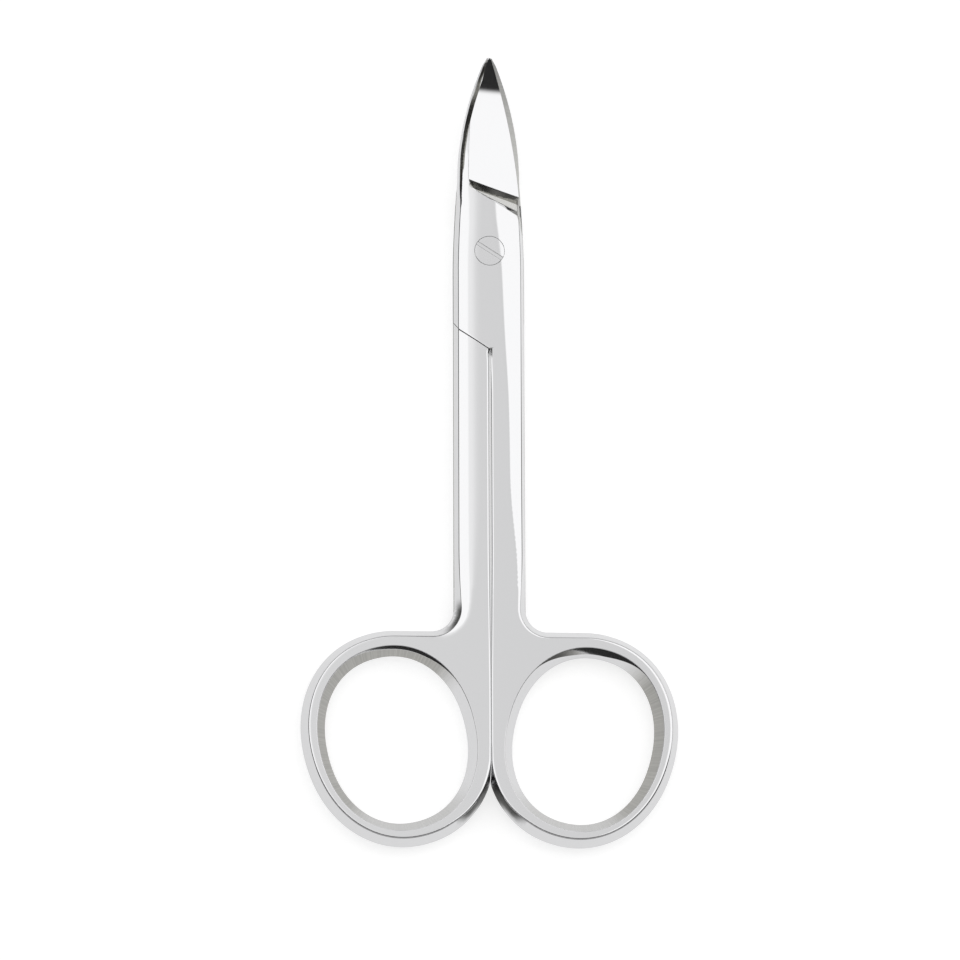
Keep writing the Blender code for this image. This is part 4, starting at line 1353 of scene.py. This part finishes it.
def new_material(name):
    material = bpy.data.materials.new(name)
    material.use_nodes = True
    shader = material.node_tree.nodes["Principled BSDF"]
    shader.inputs["Metallic"].default_value = 1.0
    return material, material.node_tree, shader


HAZE_CLOUD_MM = 4.0
# The least and greatest roughness within a finish, as shares of its mean
POLISH_SPREAD = (0.8, 1.3)
GROUND_SPREAD = (0.75, 1.25)
STROKE_NOISE = {"Detail": 4.0, "Roughness": 0.6}


def mirror_polished_steel(name, hex_value, roughness):
    """Stainless steel polished on a felt wheel: a near mirror, hazed a little and faintly uneven."""
    material, tree, shader = new_material(name)
    shader.inputs["Base Color"].default_value = linear(hex_value)
    place = add_node(tree, "ShaderNodeTexCoord").outputs["Object"]
    clouds = 1.0 / (HAZE_CLOUD_MM * MM)
    haze = add_node(tree, "ShaderNodeTexNoise", Vector=place, Scale=clouds, Detail=3.0).outputs["Fac"]
    low, high = (roughness * share for share in POLISH_SPREAD)
    rough = add_node(tree, "ShaderNodeMapRange", Value=haze, To_Min=low, To_Max=high)
    tree.links.new(rough.outputs["Result"], shader.inputs["Roughness"])
    return material


def ground_steel(name, hex_value, roughness, spacing_mm, depth, darkest=0.62):
    """Stainless steel left from the grinding belt: fine strokes side by side that spread the light."""
    material, tree, shader = new_material(name)
    grain = add_node(tree, "ShaderNodeAttribute", {"attribute_name": "grain"}).outputs["Vector"]
    scale = 1.0 / spacing_mm
    strokes = add_node(tree, "ShaderNodeTexNoise", Vector=grain, Scale=scale, **STROKE_NOISE).outputs["Fac"]
    light, dark = linear(hex_value), darker(hex_value, darkest)
    belt = add_node(tree, "ShaderNodeMix", {"data_type": "RGBA"}, Factor=strokes, i6=dark, i7=light)
    low, high = (roughness * share for share in GROUND_SPREAD)
    rough = add_node(tree, "ShaderNodeMapRange", Value=strokes, To_Min=low, To_Max=high)
    bump = add_node(tree, "ShaderNodeBump", Height=strokes, Distance=depth, Strength=1.0)
    tree.links.new(belt.outputs[2], shader.inputs["Base Color"])
    tree.links.new(rough.outputs["Result"], shader.inputs["Roughness"])
    tree.links.new(bump.outputs["Normal"], shader.inputs["Normal"])
    return material


def part_polished_steel(name, finish, hex_value, spacing_mm, darkest):
    """Steel polished over in part: belt strokes that fade into the polish with the grain's third value,
    which on the corners is painted shade.
    """
    material, tree, shader = new_material(name)
    grain = add_node(tree, "ShaderNodeAttribute", {"attribute_name": "grain"}).outputs["Vector"]
    wear = add_node(tree, "ShaderNodeSeparateXYZ", Vector=grain).outputs["Z"]
    scale = 1.0 / spacing_mm
    strokes = add_node(tree, "ShaderNodeTexNoise", Vector=grain, Scale=scale, **STROKE_NOISE).outputs["Fac"]
    light, dark = linear(hex_value), darker(hex_value, darkest)
    belt = add_node(tree, "ShaderNodeMix", {"data_type": "RGBA"}, Factor=strokes, i6=dark, i7=light)
    polish = linear(finish.polish)
    worn = add_node(tree, "ShaderNodeMix", {"data_type": "RGBA"}, Factor=wear, i6=polish, i7=belt.outputs[2])
    low, high = 2.0 * finish.polish_roughness, finish.satin_roughness
    rough = add_node(tree, "ShaderNodeMapRange", Value=wear, To_Min=low, To_Max=high)
    tree.links.new(worn.outputs[2], shader.inputs["Base Color"])
    tree.links.new(rough.outputs["Result"], shader.inputs["Roughness"])
    return material


def table_top(name, hex_value, glow):
    """A lit white table top: matt, and giving off part of its light itself."""
    material = bpy.data.materials.new(name)
    material.use_nodes = True
    shader = material.node_tree.nodes["Principled BSDF"]
    shader.inputs["Base Color"].default_value = linear(hex_value)
    shader.inputs["Roughness"].default_value = 0.9
    shader.inputs["Specular IOR Level"].default_value = 0.0
    shader.inputs["Emission Color"].default_value = (1.0, 1.0, 1.0, 1.0)
    shader.inputs["Emission Strength"].default_value = glow
    return material


# A belt's real strokes lie about 0.05 mm apart; they are drawn two to three times as coarse, so they show
GROUND_STROKES_MM = 0.16
RING_STROKES_MM = 0.13
ROUGH_SHADED_STROKES_MM = 0.12
SHADED_CORNER_STROKES_MM = 0.12
SCREW_STROKES_MM = 0.10


def steels(finish):
    """The five materials of a half, in the order of their numbers; the rough and the corner steel are
    darkened as painted shade.
    """
    satin, rough = finish.satin_roughness, 0.20
    ring, corner = finish.ring_side, finish.corner
    return (
        mirror_polished_steel("mirror_polished_stainless", finish.polish, finish.polish_roughness),
        ground_steel("ground_stainless", finish.satin, satin, GROUND_STROKES_MM, depth=0.000006),
        part_polished_steel("ring_side_stainless", finish, ring, RING_STROKES_MM, darkest=0.45),
        # Rough-ground steel: ground strokes, with their colour darkened as painted shade
        ground_steel(
            "rough_ground_painted_shade_stainless", finish.rough, rough, ROUGH_SHADED_STROKES_MM, depth=0.000010, darkest=0.22
        ),
        # Corner steel: polish that turns to dark strokes where shade is painted into the corners
        part_polished_steel("corner_painted_shade_stainless", finish, corner, SHADED_CORNER_STROKES_MM, darkest=0.5),
    )


# Operators


def scissors_form():
    """The shared form, with the pair's middle at the origin."""
    form = make_form(bpy.context.scene.scissor_sizes)
    form.pivot_y = (PIVOT_TO_RING_END - PIVOT_TO_TIP) / 2
    return form


class SCISSORS_OT_halves(bpy.types.Operator):
    """Make both forged halves with their polished and ground faces"""

    bl_idname = "scissors.halves"
    bl_label = "Forged halves"

    def execute(self, context):
        form = scissors_form()
        plan = half_plan(form)
        materials = steels(context.scene.steel_finish)
        for part, front in (("front", True), ("rear", False)):
            piece = make_half(f"{part}_polished_half", form, plan, materials, front)
            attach(piece, part)
            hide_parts(f"{part}_blade_half")
        return {"FINISHED"}


class SCISSORS_OT_screw(bpy.types.Operator):
    """Make the flush slotted screw"""

    bl_idname = "scissors.screw"
    bl_label = "Pivot screw"

    def execute(self, context):
        finish = context.scene.steel_finish
        face = mirror_polished_steel("turned_screw_stainless", finish.screw, roughness=0.06)
        side = ground_steel("turned_screw_side", finish.satin, 0.35, SCREW_STROKES_MM, depth=0.000004)
        piece = make_screw("slotted_screw", scissors_form(), (face, side))
        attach(piece, "rear")
        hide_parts("pivot_screw")
        return {"FINISHED"}


TABLE_REACH = 3.0


class SCISSORS_OT_stage(bpy.types.Operator):
    """Set the floor, the light and the camera"""

    bl_idname = "scissors.stage"
    bl_label = "Stage"

    def execute(self, context):
        light = context.scene.studio_light
        mesh = bpy.data.meshes.new("table")
        corners = [(x * TABLE_REACH, y * TABLE_REACH, 0.0) for x, y in ((-1, -1), (1, -1), (1, 1), (-1, 1))]
        mesh.from_pydata(corners, [], [(0, 1, 2, 3)])
        mesh.materials.append(table_top("lit_table", light.floor, light.glow))
        table = bpy.data.objects.new("table", mesh)
        context.scene.collection.objects.link(table)
        studio_world(light)
        place_camera()
        context.scene.view_settings.view_transform = "Standard"
        return {"FINISHED"}


SMOOTH = {"interpolation_type": "SMOOTHSTEP"}


def light_in(tree, zones):
    """The light of the room's zones, added up: each one's light times a smooth fade over each border.

    A border is a value with its numbers just outside and just inside the zone.
    """
    times, plus = {"operation": "MULTIPLY"}, {"operation": "ADD"}
    total = 0.0
    for level, borders in zones:
        for value, outside, within in borders:
            ends = {"Value": value, "From_Min": outside, "From_Max": within}
            fade = add_node(tree, "ShaderNodeMapRange", SMOOTH, **ends).outputs["Result"]
            level = add_node(tree, "ShaderNodeMath", times, i0=level, i1=fade).outputs[0]
        total = add_node(tree, "ShaderNodeMath", plus, i0=total, i1=level).outputs[0]
    return total


# The left soft box is brighter in its core than at its border; the shares add up to its whole light
LEFT_BORDER_SHARE = 0.42
LEFT_CORE_SHARE = 0.58
PANEL_LEFT_SHARE = 1.08
PANEL_RIGHT_SHARE = 0.94


def studio_world(light):
    """The room as light by direction: a panel overhead, soft boxes left and right, and a dark front."""
    world = bpy.data.worlds.new("studio")
    world.use_nodes = True
    tree = world.node_tree
    tree.nodes.clear()
    direction = add_node(tree, "ShaderNodeTexCoord").outputs["Generated"]
    split = add_node(tree, "ShaderNodeSeparateXYZ", Vector=direction)
    x, y, z = (split.outputs[axis] for axis in "XYZ")
    leans = []
    for component in (x, y):
        turned = add_node(tree, "ShaderNodeMath", {"operation": "ARCTAN2"}, i0=component, i1=z).outputs[0]
        leans.append(add_node(tree, "ShaderNodeMath", {"operation": "DEGREES"}, i0=turned).outputs[0])
    # Degrees that a direction leans from straight up, to the right and away from the viewer
    side, forward = leans
    left_border, left_core, right_box = (side, 1.8, -5.7), (side, -6.0, -8.0), (side, 8.2, 9.0)
    left_box = [(LEFT_BORDER_SHARE, [left_border]), (LEFT_CORE_SHARE, [left_core])]
    boxes = light_in(tree, [*left_box, (1.0, [right_box])])
    left, right = light.zenith * PANEL_LEFT_SHARE, light.zenith * PANEL_RIGHT_SHARE
    ends = {"Value": side, "From_Min": -4.0, "From_Max": 8.0, "To_Min": left, "To_Max": right}
    panel = add_node(tree, "ShaderNodeMapRange", SMOOTH, **ends).outputs["Result"]
    ceiling = add_node(tree, "ShaderNodeMix", {"data_type": "FLOAT"}, i0=boxes, i2=panel, i3=light.boxes)
    # The right box is shorter than the left one, so the bent tip mirrors the dark in front of it
    missing = light_in(tree, [(1.0, [(side, 12.0, 15.0), (forward, 1.6, -2.8)])])
    ceiling_borders = [
        (forward, -5.4, -4.2),
        (forward, 56.0, 48.0),
        (side, -54.0, -46.0),
        (side, 74.0, 66.0),
        (missing, 1.0, 0.0),
    ]
    # Two strip lights, before and behind the table, that the photograph's own angle hardly catches
    horizon = (z, 0.12, 0.2)
    front_strip = [(forward, -26.0, -38.0), (forward, -77.0, -71.0), horizon]
    back_strip = [(forward, 58.0, 64.0), (forward, 77.0, 71.0), horizon]
    room = [(ceiling.outputs[0], ceiling_borders), (light.strips, front_strip), (light.strips, back_strip)]
    lit = light_in(tree, room)
    level = add_node(tree, "ShaderNodeMath", {"operation": "MAXIMUM"}, i0=lit, i1=light.dark)
    path = add_node(tree, "ShaderNodeLightPath").outputs["Is Camera Ray"]
    studio = add_node(tree, "ShaderNodeBackground", Strength=level.outputs[0])
    backdrop = add_node(tree, "ShaderNodeBackground", Color=(1.0, 1.0, 1.0, 1.0), Strength=1.0)
    mix = add_node(tree, "ShaderNodeMixShader", i0=path, i1=studio.outputs[0], i2=backdrop.outputs[0])
    add_node(tree, "ShaderNodeOutputWorld", Surface=mix.outputs[0])
    bpy.context.scene.world = world


# The camera as fitted to the photograph's outline of the pair
CAMERA_LENS_MM = 165.735
CAMERA_TO_LEFT_DEG = 4.885
CAMERA_TO_FRONT_DEG = 11.4217
CAMERA_ROLL_DEG = -0.188
CAMERA_AIM = (-0.0013683, -0.0046270, 0.0040)
CAMERA_DISTANCE = 0.575796


def place_camera():
    """A long lens that looks down on the pair from a little to the left and from its rings' side."""
    data = bpy.data.cameras.new("camera")
    data.lens = CAMERA_LENS_MM
    data.sensor_width = 36.0
    data.clip_start = 0.01
    camera = bpy.data.objects.new("camera", data)
    to_left, to_front = math.radians(CAMERA_TO_LEFT_DEG), math.radians(CAMERA_TO_FRONT_DEG)
    back = np.array([-math.sin(to_left), -math.sin(to_front), 0.0])
    back[2] = math.sqrt(1.0 - back @ back)
    up = np.array([0.0, 1.0, 0.0])
    up -= (up @ back) * back
    up /= np.linalg.norm(up)
    right = np.cross(up, back)
    roll = math.radians(CAMERA_ROLL_DEG)
    columns = np.eye(4)
    columns[:3, 0] = right * math.cos(roll) + up * math.sin(roll)
    columns[:3, 1] = up * math.cos(roll) - right * math.sin(roll)
    columns[:3, 2] = back
    columns[:3, 3] = np.array(CAMERA_AIM) + CAMERA_DISTANCE * back
    camera.matrix_world = Matrix(columns.tolist())
    bpy.context.scene.collection.objects.link(camera)
    bpy.context.scene.camera = camera


class SCISSORS_PT_panel(bpy.types.Panel):
    """Sizes, finishes and the pieces to make"""

    bl_label = "Toenail scissors"
    bl_space_type = "VIEW_3D"
    bl_region_type = "UI"
    bl_category = "Scissors"

    def draw(self, context):
        for group in (context.scene.scissor_sizes, context.scene.steel_finish, context.scene.studio_light):
            box = self.layout.box()
            for key in group.bl_rna.properties.keys():
                if key not in ("rna_type", "name"):
                    box.prop(group, key)
        for operator in OPERATORS:
            self.layout.operator(operator.bl_idname)


OPERATORS = (SCISSORS_OT_halves, SCISSORS_OT_screw, SCISSORS_OT_stage)
CLASSES = (ScissorSizes, SteelFinish, StudioLight, *OPERATORS, SCISSORS_PT_panel)


def register():
    for item in CLASSES:
        bpy.utils.register_class(item)
    bpy.types.Scene.scissor_sizes = bpy.props.PointerProperty(type=ScissorSizes)
    bpy.types.Scene.steel_finish = bpy.props.PointerProperty(type=SteelFinish)
    bpy.types.Scene.studio_light = bpy.props.PointerProperty(type=StudioLight)


def unregister():
    for name in ("scissor_sizes", "steel_finish", "studio_light"):
        delattr(bpy.types.Scene, name)
    for item in reversed(CLASSES):
        bpy.utils.unregister_class(item)


def main():
    register()
    bpy.ops.scissors.halves()
    bpy.ops.scissors.screw()
    bpy.ops.scissors.stage()


if __name__ == "__main__":
    main()
